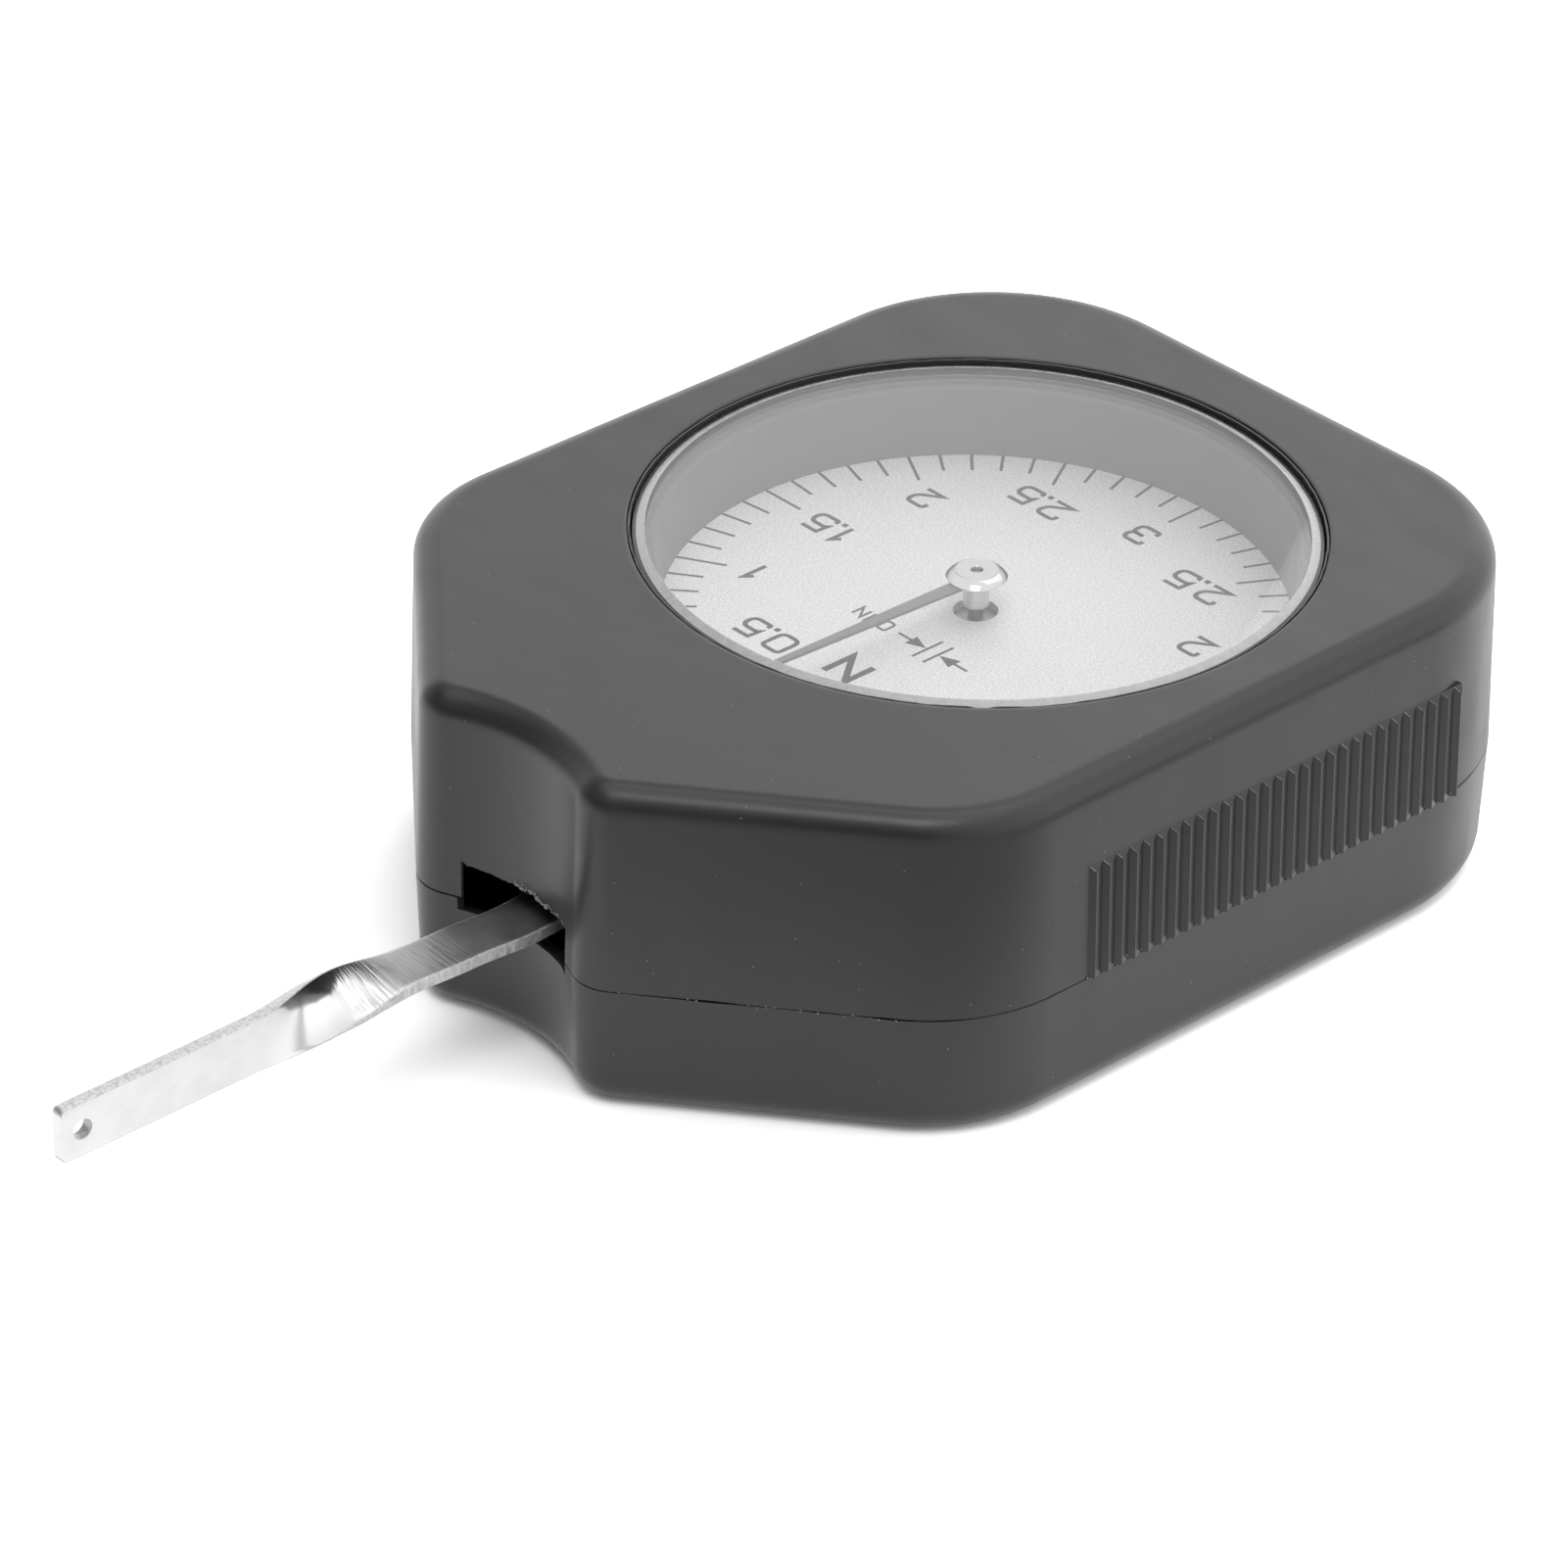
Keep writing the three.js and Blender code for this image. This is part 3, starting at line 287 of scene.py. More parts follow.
def quarter(steps):
    """Steps of a quarter round of radius one: how far across it, and how far along."""
    angles = [math.pi / 2 * i / steps for i in range(steps + 1)]
    return [(1 - math.cos(angle), math.sin(angle)) for angle in angles]


def eased(share):
    """A share of a way, with a gentle start and end."""
    return share * share * (3 - 2 * share)


def add_object(name, data):
    made = bpy.data.objects.new(name, data)
    bpy.context.scene.collection.objects.link(made)
    return made


def mesh_object(name, points, faces, materials=(), kinds=None, weld=True):
    """A piece from points in millimetres, with its faces turned outwards.

    kinds gives each face the number of its material, and weld joins points that meet."""
    mesh = bpy.data.meshes.new(name)
    mesh.from_pydata([(x * MM, y * MM, z * MM) for x, y, z in points], [], faces)
    mesh.update()
    for material in materials:
        mesh.materials.append(material)
    if kinds:
        mesh.polygons.foreach_set("material_index", kinds)
    shape = bmesh.new()
    shape.from_mesh(mesh)
    if weld:
        bmesh.ops.remove_doubles(shape, verts=shape.verts, dist=WELD_DISTANCE * MM)
    bmesh.ops.recalc_face_normals(shape, faces=shape.faces)
    shape.to_mesh(mesh)
    shape.free()
    return add_object(name, mesh)


def moved(made, x, y, z=0.0):
    made.data.transform(Matrix.Translation((x * MM, y * MM, z * MM)))
    return made


def coat(made, material):
    """Gives the whole piece one material."""
    made.data.materials.clear()
    made.data.materials.append(material)


def bake(made):
    """Puts what the modifiers make into the mesh itself."""
    bpy.context.view_layer.update()
    graph = bpy.context.evaluated_depsgraph_get()
    mesh = bpy.data.meshes.new_from_object(made.evaluated_get(graph), depsgraph=graph)
    old = made.data
    made.modifiers.clear()
    made.data = mesh
    mesh.name = made.name
    bpy.data.meshes.remove(old)


def boolean(made, operation, *tools):
    """Joins tools to a piece, or cuts them from it."""
    tool = tools[0] if len(tools) == 1 else joined(tools)
    modifier = made.modifiers.new("shape", "BOOLEAN")
    modifier.operation = operation
    modifier.solver = "EXACT"
    modifier.object = tool
    bake(made)
    bpy.data.objects.remove(tool)


def smooth(made, angle=math.radians(32)):
    """Smooth shading with crisp corners, and flat faces kept flat."""
    made.data.shade_smooth()
    made.data.set_sharp_from_angle(angle=angle)
    weighted = made.modifiers.new("normals", "WEIGHTED_NORMAL")
    weighted.keep_sharp = True
    weighted.weight = 80
    bake(made)
    return made


def rounded(points, radii, steps=5, closed=False):
    """A polyline with its corners eased, with one radius for each point."""
    result = []
    count = len(points)
    for i, (point, ease) in enumerate(zip(points, radii)):
        if ease <= 0 or (not closed and i in (0, count - 1)):
            result.append(Vector(point))
            continue
        corner = Vector(point)
        before = Vector(points[i - 1]) - corner
        after = Vector(points[(i + 1) % count]) - corner
        reach = min(ease, before.length / 2, after.length / 2)
        start = corner + before.normalized() * reach
        end = corner + after.normalized() * reach
        for step in range(steps + 1):
            t = step / steps
            result.append(start * (1 - t) ** 2 + corner * 2 * t * (1 - t) + end * t ** 2)
    return result


def lathe(name, profile, segments, materials=()):
    """A turned piece; a profile that leaves the axis closes on itself."""
    on_axis = profile[0][0] < ON_AXIS
    points, starts = [], []
    for radius, height in profile:
        starts.append(len(points))
        if radius < ON_AXIS:
            points.append((0, 0, height))
        else:
            for i in range(segments):
                angle = 2 * math.pi * i / segments
                points.append((radius * math.cos(angle), radius * math.sin(angle), height))
    faces = []
    count = len(profile)
    for k in range(count - 1 if on_axis else count):
        low, high = k, (k + 1) % count
        for i in range(segments):
            j = (i + 1) % segments
            a, b = starts[low] + i, starts[low] + j
            c, d = starts[high] + j, starts[high] + i
            if profile[low][0] < ON_AXIS:
                faces.append((starts[low], c, d))
            elif profile[high][0] < ON_AXIS:
                faces.append((a, b, starts[high]))
            else:
                faces.append((a, b, c, d))
    return mesh_object(name, points, faces, materials)


def turned(name, corners, segments, materials, closed=False):
    """A turned piece, with the radius, height and ease of each corner of its profile."""
    profile = rounded([corner[:2] for corner in corners], [corner[2] for corner in corners],
                      closed=closed)
    return lathe(name, profile, segments, materials)


def rod(radius, bottom, top, place=(0, 0)):
    """A plain cylinder along Z, as a tool for cuts and joins."""
    profile = [(0, bottom), (radius, bottom), (radius, top), (0, top)]
    return moved(lathe("rod", profile, SMALL_SEGMENTS), *place)


def rectangle(left, low, right, high):
    """Its corners, counter-clockwise."""
    return [(left, low), (right, low), (right, high), (left, high)]


def sweep(sections, closed=False):
    """Points and faces of a body drawn through sections, closed on itself or with two ends."""
    count, last = len(sections[0]), len(sections) - 1
    faces = []
    for k in range(last + closed):
        low, high = k * count, (k + 1) % len(sections) * count
        for i in range(count):
            j = (i + 1) % count
            faces.append((low + i, low + j, high + j, high + i))
    if not closed:
        faces.append(tuple(range(count))[::-1])
        faces.append(tuple(range(last * count, len(sections) * count)))
    return [point for section in sections for point in section], faces


def prism(name, outline, along, start, end, materials=()):
    """A prism on an outline in X and Z drawn out along 'Y', or one in X and Y along 'Z'."""
    ends = [[(u, depth, v) if along == "Y" else (u, v, depth) for u, v in outline]
            for depth in (start, end)]
    return mesh_object(name, *sweep(ends), materials)


def joined(pieces, name="tool"):
    """One object that holds the meshes of several, for one cut or join."""
    whole = bmesh.new()
    for piece in pieces:
        whole.from_mesh(piece.data)
        bpy.data.objects.remove(piece)
    mesh = bpy.data.meshes.new(name)
    whole.to_mesh(mesh)
    whole.free()
    return add_object(name, mesh)


# Node helpers

def grey(value):
    return (value, value, value, 1.0)


class Nodes:
    """Makes the nodes of one tree; an input that is a socket is linked."""

    def __init__(self, tree):
        self.tree = tree

    def feed(self, socket, value):
        if isinstance(value, bpy.types.NodeSocket):
            self.tree.links.new(value, socket)
        else:
            socket.default_value = value

    def add(self, kind, inputs=None, **settings):
        made = self.tree.nodes.new(kind)
        for key, value in settings.items():
            setattr(made, key, value)
        for key, value in (inputs or {}).items():
            self.feed(made.inputs[key], value)
        return made

    def maths(self, operation, *values, clamp=False):
        return self.add("ShaderNodeMath", dict(enumerate(values)), operation=operation,
                        use_clamp=clamp).outputs[0]

    def times(self, first, second):
        return self.maths("MULTIPLY", first, second)

    def ramp(self, value, from_low, from_high, to_low=0.0, to_high=1.0):
        """value carried smoothly from one range to another."""
        return self.add("ShaderNodeMapRange", {
            "Value": value, "From Min": from_low, "From Max": from_high,
            "To Min": to_low, "To Max": to_high,
        }, interpolation_type="SMOOTHSTEP").outputs["Result"]

    def blended(self, share, first, second):
        """The first value where share is zero, and the second where it is one."""
        rest = self.times(self.maths("SUBTRACT", 1.0, share), first)
        return self.maths("ADD", rest, self.times(share, second))

    def mix(self, share, first, second):
        """A colour between two greys or colours."""
        ends = {6: first, 7: second}
        ends = {key: grey(end) if isinstance(end, float) else end for key, end in ends.items()}
        return self.add("ShaderNodeMix", {0: share, **ends}, data_type="RGBA").outputs[2]

    def either_ray(self, *kinds):
        """One for rays of two kinds, and zero for the others."""
        light = self.add("ShaderNodeLightPath").outputs
        return self.maths("MAXIMUM", *[light[f"Is {kind} Ray"] for kind in kinds])


class Surface(Nodes):
    """A material in the making, patterned by the place on its piece in metres."""

    def __init__(self, name, metallic=0.0):
        self.material = bpy.data.materials.new(name)
        self.material.use_nodes = True
        super().__init__(self.material.node_tree)
        self.shader = self.tree.nodes["Principled BSDF"]
        self.shader.inputs["Metallic"].default_value = metallic
        self.place = self.add("ShaderNodeTexCoord").outputs["Object"]

    def noise(self, scale, detail, roughness=0.5, place=None):
        """Noise of about zero to one; scale is in cells per metre."""
        return self.add("ShaderNodeTexNoise", {
            "Vector": self.place if place is None else place, "Scale": scale,
            "Detail": detail, "Roughness": roughness,
        }).outputs["Fac"]

    def stretched(self, scale, turn=0.0):
        """The place, scaled along the axes and turned about Z."""
        return self.add("ShaderNodeMapping", {
            "Vector": self.place, "Scale": scale, "Rotation": (0, 0, turn),
        }).outputs["Vector"]

    def specks(self, scale, size, share):
        """One on sparse round specks, and zero elsewhere."""
        cells = self.add("ShaderNodeTexVoronoi", {"Vector": self.place, "Scale": scale}).outputs
        near = self.ramp(cells["Distance"], size, size * 0.5)
        chance = self.add("ShaderNodeSeparateColor", {"Color": cells["Color"]}).outputs[0]
        return self.times(near, self.maths("LESS_THAN", chance, share))

    def bump(self, height, strength, depth, below=None):
        """A bumped normal, over another one if below is given; depth is in millimetres."""
        inputs = {"Height": height, "Strength": strength, "Distance": depth * MM}
        if below is not None:
            inputs["Normal"] = below
        return self.add("ShaderNodeBump", inputs).outputs["Normal"]

    def finished(self, colour, rough, normal=None):
        """The material, with what its shader takes."""
        self.feed(self.shader.inputs["Base Color"], colour)
        self.feed(self.shader.inputs["Roughness"], rough)
        if normal is not None:
            self.feed(self.shader.inputs["Normal"], normal)
        return self.material


# Materials

def case_plastic():
    """Fine moulded grain under faint smears, with a little dust."""
    made = Surface("case_plastic")
    grain = made.noise(5200, 3, 0.6)
    tone = made.mix(made.noise(70, 3), 0.026, 0.034)
    tone = made.mix(made.times(grain, 0.25), tone, 0.052)
    dust = made.specks(900, 0.06, 0.35)
    tone = made.mix(made.times(dust, 0.8), tone, 0.32)
    smear = made.noise(120, 4, place=made.stretched((1, 2.5, 1), 0.6))
    dull = made.ramp(smear, 0.35, 0.75, 0.30, 0.38)
    wave = made.bump(made.noise(160, 2), 0.25, 0.03)
    return made.finished(tone, made.maths("ADD", dull, made.times(dust, 0.3)),
                         made.bump(grain, 0.22, 0.02, wave))


def clear_plastic():
    """Polished plastic; light that falls on what lies behind it comes straight through."""
    made = Surface("clear_plastic")
    made.shader.inputs["Transmission Weight"].default_value = 1.0
    made.shader.inputs["IOR"].default_value = 1.49
    smear = made.noise(300, 3, place=made.stretched((1, 3, 1), 0.9))
    made.finished(grey(0.97), made.ramp(smear, 0.4, 0.8, 0.0, 0.035))
    open_way = made.add("ShaderNodeBsdfTransparent", {"Color": grey(0.97)})
    mixed = made.add("ShaderNodeMixShader", {
        0: made.either_ray("Shadow", "Diffuse"), 1: made.shader.outputs[0],
        2: open_way.outputs[0]})
    made.feed(made.tree.nodes["Material Output"].inputs["Surface"], mixed.outputs[0])
    return made.material


def ring_plastic(name, tone):
    """Smooth moulding with a soft gloss."""
    made = Surface(name)
    colour = made.mix(made.noise(260, 3), tone * 0.93, tone * 1.03)
    rough = made.ramp(made.noise(500, 3), 0.3, 0.7, 0.38, 0.44)
    return made.finished(colour, rough, made.bump(made.noise(90, 2), 0.08, 0.02))


def speckled(name, pattern, tones, roughs, relief=None):
    """One noise in colour, roughness and height; pattern is its scale, detail and roughness."""
    made = Surface(name)
    fleck = made.noise(*pattern)
    return made.finished(made.mix(fleck, *tones), made.ramp(fleck, 0.3, 0.7, *roughs),
                         made.bump(fleck, *relief) if relief else None)


def dial_silver():
    """A fine bright grain on a silver ground."""
    made = Surface("dial_silver", metallic=0.35)
    grain = made.noise(5600, 2, 0.7)
    tone = made.mix(made.ramp(grain, 0.36, 0.64), 0.68, 0.95)
    tone = made.mix(made.times(made.noise(90, 2), 0.2), tone, 0.74)
    return made.finished(tone, made.ramp(grain, 0.2, 0.8, 0.42, 0.58),
                         made.bump(grain, 0.35, 0.02))


def turned_metal(name, tone, low_rough, high_rough, line_scale, strength):
    """Lathe lines run round the Z axis: they vary along Z and with the radius."""
    made = Surface(name, metallic=1.0)
    x, y, z = made.add("ShaderNodeSeparateXYZ", {"Vector": made.place}).outputs
    radius = made.maths("SQRT", made.maths("ADD", made.times(x, x), made.times(y, y)))
    across = made.add("ShaderNodeCombineXYZ", {0: radius, 2: z}).outputs[0]
    lines = made.noise(line_scale, 3, 0.7, across)
    return made.finished(made.mix(lines, tone * 0.92, tone),
                         made.ramp(lines, 0.3, 0.7, low_rough, high_rough),
                         made.bump(lines, strength, 0.01))


# Stretches along the arm, in metres, over which its finish changes
# Where the painted sheen over the twist fades out
PAINTED_SHEEN_RUN = (-0.0680, -0.0620)
MARKS_START_RUN = (-0.0600, -0.0560)
MARKS_END_RUN = (-0.0510, -0.0475)
DULL_RUN = (-0.0590, -0.0520)


def arm_steel():
    """Rolled strip, painted lighter over the twist as a painted sheen, and dulled with cross marks
    towards the case.
    """
    made = Surface("arm_steel", metallic=1.0)
    along = made.add("ShaderNodeSeparateXYZ", {"Vector": made.place}).outputs[1]
    dull = made.ramp(along, *DULL_RUN)
    marked = made.times(made.ramp(along, *MARKS_START_RUN),
                        made.ramp(along, *MARKS_END_RUN, 1.0, 0.0))
    marks = made.noise(4900, 2, place=made.stretched((0.07, 1, 0.07), 0.35))
    rolled = made.noise(2600, 3, 0.6, made.stretched((1, 0.08, 1)))
    stain = made.noise(420, 4, 0.6)
    blade = made.mix(made.ramp(stain, 0.35, 0.7), 0.66, 0.62)
    # A lighter colour up to and over the twist: painted sheen
    tone = made.mix(made.ramp(along, *PAINTED_SHEEN_RUN), blade, 0.80)
    scored = made.times(made.ramp(marks, 0.42, 0.58), marked)
    tone = made.mix(made.times(scored, 0.7), tone, 0.22)
    tone = made.mix(dull, tone, 0.66)
    rough = made.maths("ADD", made.ramp(stain, 0.3, 0.7, 0.12, 0.19), made.times(dull, 0.24))
    normal = made.bump(rolled, 0.1, 0.02)
    normal = made.bump(made.times(marks, marked), 0.9, 0.05, normal)
    return made.finished(tone, rough, made.bump(stain, 0.12, 0.06, normal))


def sheared_edge():
    """The strip's rough cut edge."""
    made = Surface("sheared_edge", metallic=0.55)
    torn = made.noise(3000, 4, 0.7, made.stretched((1, 1, 0.45)))
    return made.finished(made.mix(made.ramp(torn, 0.25, 0.75), 0.46, 0.84),
                         made.ramp(torn, 0.3, 0.7, 0.35, 0.6), made.bump(torn, 0.6, 0.05))


def worked_metal(name, tone, rough, metallic=1.0):
    """Milled plates and small parts of the movement: a fine straight grain and faint stains."""
    made = Surface(name, metallic)
    grain = made.noise(4200, 3, 0.6, made.stretched((1, 0.05, 1)))
    dark = tuple(value * 0.86 for value in tone)
    colour = made.mix(made.noise(300, 3), (*dark, 1.0), (*tone, 1.0))
    return made.finished(colour, made.ramp(grain, 0.3, 0.7, rough * 0.8, rough * 1.2),
                         made.bump(grain, 0.15, 0.01))


PLASTIC = case_plastic()
# Plastic whitened where it tore; on the ribs' slanting edges its light colour is a painted
# highlight
TORN_AND_HIGHLIGHT = speckled("torn_plastic_and_highlight", (9000, 3, 0.7), (0.16, 0.50), (0.4, 0.7))
CLEAR = clear_plastic()
RING = ring_plastic("ring_plastic", 0.185)
# A darker copy of the ring's plastic for its flat top: painted shade
RING_TOP_PAINTED_SHADE = ring_plastic("ring_top_painted_shade", 0.13)
# The window's rim, a light satin band that is painted light for the bright edge of the pane
BEVEL = speckled("satin_bevel_painted_light", (900, 3, 0.6), (0.45, 0.55), (0.22, 0.34))
# A narrow dark satin band outside the rim: painted shade
SHOULDER_PAINTED_SHADE = speckled("satin_shoulder_painted_shade", (900, 3, 0.6), (0.063, 0.077), (0.22, 0.34))
DIAL = dial_silver()
INK = speckled("printed_ink", (4200, 3, 0.7), (0.03, 0.055), (0.42, 0.6))
HUB = turned_metal("turned_nickel", 0.70, 0.06, 0.12, 2600, 0.05)
# The stem's rougher turning, in a tone darker than the cap's: the darker tone is painted shade
STEM_TURNING_AND_PAINTED_SHADE = turned_metal("turned_stem_and_painted_shade", 0.60, 0.2, 0.34, 5200, 0.25)
STEEL_TURNED = turned_metal("turned_steel", 0.72, 0.22, 0.36, 2200, 0.15)
SHAFT = turned_metal("oiled_steel", 0.26, 0.25, 0.4, 2200, 0.15)
NEEDLE = speckled("needle_paint", (5200, 2, 0.6), (0.16, 0.22), (0.38, 0.5), (0.2, 0.01))
ARM = arm_steel()
ARM_EDGE = sheared_edge()
FINISHES = {
    "brass": worked_metal("milled_brass", (0.60, 0.44, 0.17), 0.32),
    "plated_brass": worked_metal("plated_brass", (0.28, 0.28, 0.275), 0.35),
    "steel": worked_metal("bright_steel", (0.62, 0.62, 0.63), 0.28),
    "spring_steel": worked_metal("spring_steel", (0.30, 0.31, 0.34), 0.25),
    "blackened_steel": worked_metal("blackened_steel", (0.03, 0.03, 0.032), 0.45, 0.6),
}


# Case outline

chamfer_span = Vector((HALF_WIDTH - NOSE_CORNER_HALF_WIDTH, CHAMFER_RUN))
CHAMFER_NORMAL = Vector((chamfer_span.y, -chamfer_span.x)).normalized()
CHAMFER_OFFSET = CHAMFER_NORMAL.dot(Vector((HALF_WIDTH, CHAMFER_RUN - NOSE_CORNER_REACH)))
SCOOP_REACH = NOSE_CORNER_REACH - SCOOP_DEPTH
SCOOP_CENTRE = Vector((0, -SCOOP_REACH - SCOOP_RADIUS))


def side_corner_centre():
    x = HALF_WIDTH - SIDE_CORNER_RADIUS
    return Vector((x, (CHAMFER_OFFSET - SIDE_CORNER_RADIUS - CHAMFER_NORMAL.x * x)
                   / CHAMFER_NORMAL.y))


def nose_corner_centre():
    """Centre of the round that touches the chamfer and the hollow of the nose."""
    along = Vector((-CHAMFER_NORMAL.y, CHAMFER_NORMAL.x))
    foot = CHAMFER_NORMAL * (CHAMFER_OFFSET - NOSE_CORNER_RADIUS)
    to_foot = foot - SCOOP_CENTRE
    reach = SCOOP_RADIUS + NOSE_CORNER_RADIUS
    half = to_foot.dot(along)
    run = -half + math.sqrt(half ** 2 - to_foot.length_squared + reach ** 2)
    return foot + along * run


def arc(centre, radius, start, end, outward=1):
    """Points and outward normals on an arc."""
    count = max(3, math.ceil(abs(end - start) * radius / OUTLINE_STEP))
    pairs = []
    for i in range(count + 1):
        angle = start + (end - start) * i / count
        direction = Vector((math.cos(angle), math.sin(angle)))
        pairs.append((centre + direction * radius, direction * outward))
    return pairs


def on_chamfer(normal):
    return (normal - CHAMFER_NORMAL).length < 1e-6


def straight(start, end):
    """Points between two ends that share a normal, without the ends."""
    step = CHAMFER_STEP if on_chamfer(start[1]) else STRAIGHT_STEP
    count = math.ceil((end[0] - start[0]).length / step)
    return [(start[0].lerp(end[0], i / count), end[1]) for i in range(1, count)]


def case_outline():
    """Points and outward normals of the plan outline at the parting line, counter-clockwise."""
    nose = nose_corner_centre()
    normal_angle = math.atan2(CHAMFER_NORMAL.y, CHAMFER_NORMAL.x)
    to_nose = nose - SCOOP_CENTRE
    scoop_angle = math.atan2(to_nose.y, to_nose.x)
    back = Vector((HALF_WIDTH - BACK_CORNER_RADIUS, BACK_REACH - BACK_CORNER_RADIUS))
    pieces = [
        arc(SCOOP_CENTRE, SCOOP_RADIUS, math.pi / 2, scoop_angle, -1),
        arc(nose, NOSE_CORNER_RADIUS, scoop_angle - math.pi, normal_angle)[1:],
        arc(side_corner_centre(), SIDE_CORNER_RADIUS, normal_angle, 0),
        arc(back, BACK_CORNER_RADIUS, 0, math.pi / 2),
        [(Vector((0, BACK_REACH)), Vector((0, 1)))],
    ]
    right = list(pieces[0])
    for piece in pieces[1:]:
        if (piece[0][0] - right[-1][0]).length > STRAIGHT_STEP:
            right += straight(right[-1], piece[0])
        right += piece
    left = [(Vector((-p.x, p.y)), Vector((-n.x, n.y))) for p, n in reversed(right[1:-1])]
    return right + left


OUTLINE = case_outline()


def uneven(place, grain, seed):
    """A number from about -1 to 1 that wanders along the places; grain is in millimetres."""
    return fields.noise(Vector((*(place / grain), seed)))


def slit_opening(point):
    """Half the width of the slit between the shells, which closes and gapes by turns."""
    half = 1 + 1.1 * uneven(point, 3.0, 3.7) + 0.4 * uneven(point, 0.7, 9.2)
    for chip in SLIT_CHIPS:
        near = math.exp(-((point - Vector(chip)).length / SLIT_CHIP_RUN) ** 2)
        half += near * (SLIT_CHIP_GAPE + 1.6 * uneven(point, 0.45, 5.3))
    return SLIT_HALF_WIDTH * max(SLIT_LEAST, half)


def outline_ring(inset, height):
    return [(*(point - normal * inset), height) for point, normal in OUTLINE]


def slit_ring(inset, side, extra=0.0):
    """A ring of the front shell's lip (side 1) or the back shell's (side -1)."""
    return [(*(point - normal * inset), PARTING + side * (slit_opening(point) + extra))
            for point, normal in OUTLINE]


def gate_swell(place):
    """How far the window swells at the stub of its moulding gate, which faces the viewer."""
    apart = math.remainder(math.atan2(place.y, place.x) - GATE_AZIMUTH, 2 * math.pi)
    return GATE_SWELL * math.exp(-(apart * LENS_RADIUS / GATE_HALF_WIDTH) ** 4)


def circle_ring(radius, height, wander=0.0):
    ring = []
    for point, _ in OUTLINE:
        place = point.normalized() * radius
        if wander:
            place *= 1 + (wander * uneven(place, 0.9, 8.1) + gate_swell(place)) / radius
        ring.append((*place, height + wander * uneven(place, 1.3, 2.4)))
    return ring


def edge_profile(inset, height, radius, up):
    """Insets and heights over a rounded edge, from the wall to the flat face."""
    return [(inset + radius * across, height + up * radius * along)
            for across, along in quarter(EDGE_STEPS)]


# Case

def front_draft(height):
    """How far the upper shell's wall leans in at a height."""
    return TOP_DRAFT * (height - PARTING) / (CASE_TOP - PARTING)


def back_draft(height):
    """How far the lower shell's wall leans in at a height."""
    return BOTTOM_DRAFT * (PARTING - height) / PARTING


def rib_roots():
    start = side_corner_centre().y + RIB_START_GAP
    return [start + i * RIB_PITCH for i in range(RIB_COUNT)]


def rib_tool(side):
    """A rack of ribs with sloping caps, rooted inside the wall."""
    top = PARTING + RIB_HEIGHT
    foot = PARTING + RIB_FOOT_GAP
    columns = []
    for root in rib_roots():
        crest = root + RIB_PITCH * RIB_CREST_SHARE
        columns.append((root, 0.0))
        columns += [(crest + along, RIB_DEPTH - below) for along, below in RIB_CREST]
    columns.append((columns[-1][0] + RIB_END_RUN, 0.0))
    sections = []
    for y, proud in columns:
        section = []
        for height in (foot, top - RIB_CAP_DROP * proud / RIB_DEPTH):
            section.append((side * (HALF_WIDTH - front_draft(height) + proud), y, height))
        wall = HALF_WIDTH - front_draft(top) - FIT_GAP / 2
        section.append((side * wall, y, top + FIT_GAP / 2))
        section += [(side * (HALF_WIDTH - RIB_ROOT_DEPTH), y, height) for height in (top, foot)]
        sections.append(section)
    return mesh_object("ribs", *sweep(sections))


def ragged_line(seed, start, end, level, amount, dents=()):
    """Points along X at a height that wanders as a torn edge does."""
    draw = random.Random(seed)
    count = round(abs(end - start) / SLOT_STEP)
    drift = 0.0
    points = []
    for i in range(count + 1):
        x = start + (end - start) * i / count
        drift = SLOT_DRIFT_KEPT * drift + draw.uniform(-amount, amount)
        height = level + (drift if 0 < i < count else 0.0)
        for place, width, depth in dents:
            height += depth * math.exp(-((x - place) / width) ** 2)
        points.append((x, height))
    return points


def through_nose(name, outline):
    """A tool that cuts an outline of X and Z through the nose's wall."""
    return prism(name, outline, "Y", -NOSE_CORNER_REACH - OVERRUN,
                 -SCOOP_REACH + CASE_WALL + OVERRUN)


def slot_tool():
    half = SLOT_HALF_WIDTH
    top = ragged_line(4, half, -half, PARTING + SLOT_ABOVE_PARTING, SLOT_RAGGEDNESS, SLOT_DENTS)
    foot = PARTING - OVERRUN
    return through_nose("slot", [(-half, foot), (half, foot)] + top)


def notch_tool():
    left = -SLOT_HALF_WIDTH - NOTCH_LEFT_EXTRA
    floor = ragged_line(9, left, SLOT_HALF_WIDTH, 0.0, NOTCH_RAGGEDNESS, NOTCH_DENTS)
    depth = NOTCH_LEFT_DEPTH - NOTCH_RIGHT_DEPTH
    sloped = [(x, PARTING - NOTCH_LEFT_DEPTH + z
               + depth * (x + SLOT_HALF_WIDTH) / (2 * SLOT_HALF_WIDTH)) for x, z in floor]
    outline = sloped + [(SLOT_HALF_WIDTH, PARTING + OVERRUN), (left, PARTING + OVERRUN)]
    return through_nose("notch", outline)


def scoop_front(x):
    """Y of the hollow nose's face at a place across it."""
    return SCOOP_CENTRE.y + math.sqrt(SCOOP_RADIUS ** 2 - x ** 2)


def mould_line_tool():
    """A faint line in the moulding, up from the slot's left side."""
    left = -SLOT_HALF_WIDTH - MOULD_LINE_WIDTH / 2
    face = scoop_front(SLOT_HALF_WIDTH)
    outline = rectangle(left, face - OVERRUN, left + MOULD_LINE_WIDTH, face + MOULD_LINE_DEPTH)
    foot = PARTING + SLOT_ABOVE_PARTING
    return prism("mould_line", outline, "Z", foot - OVERRUN, foot + MOULD_LINE_HEIGHT)


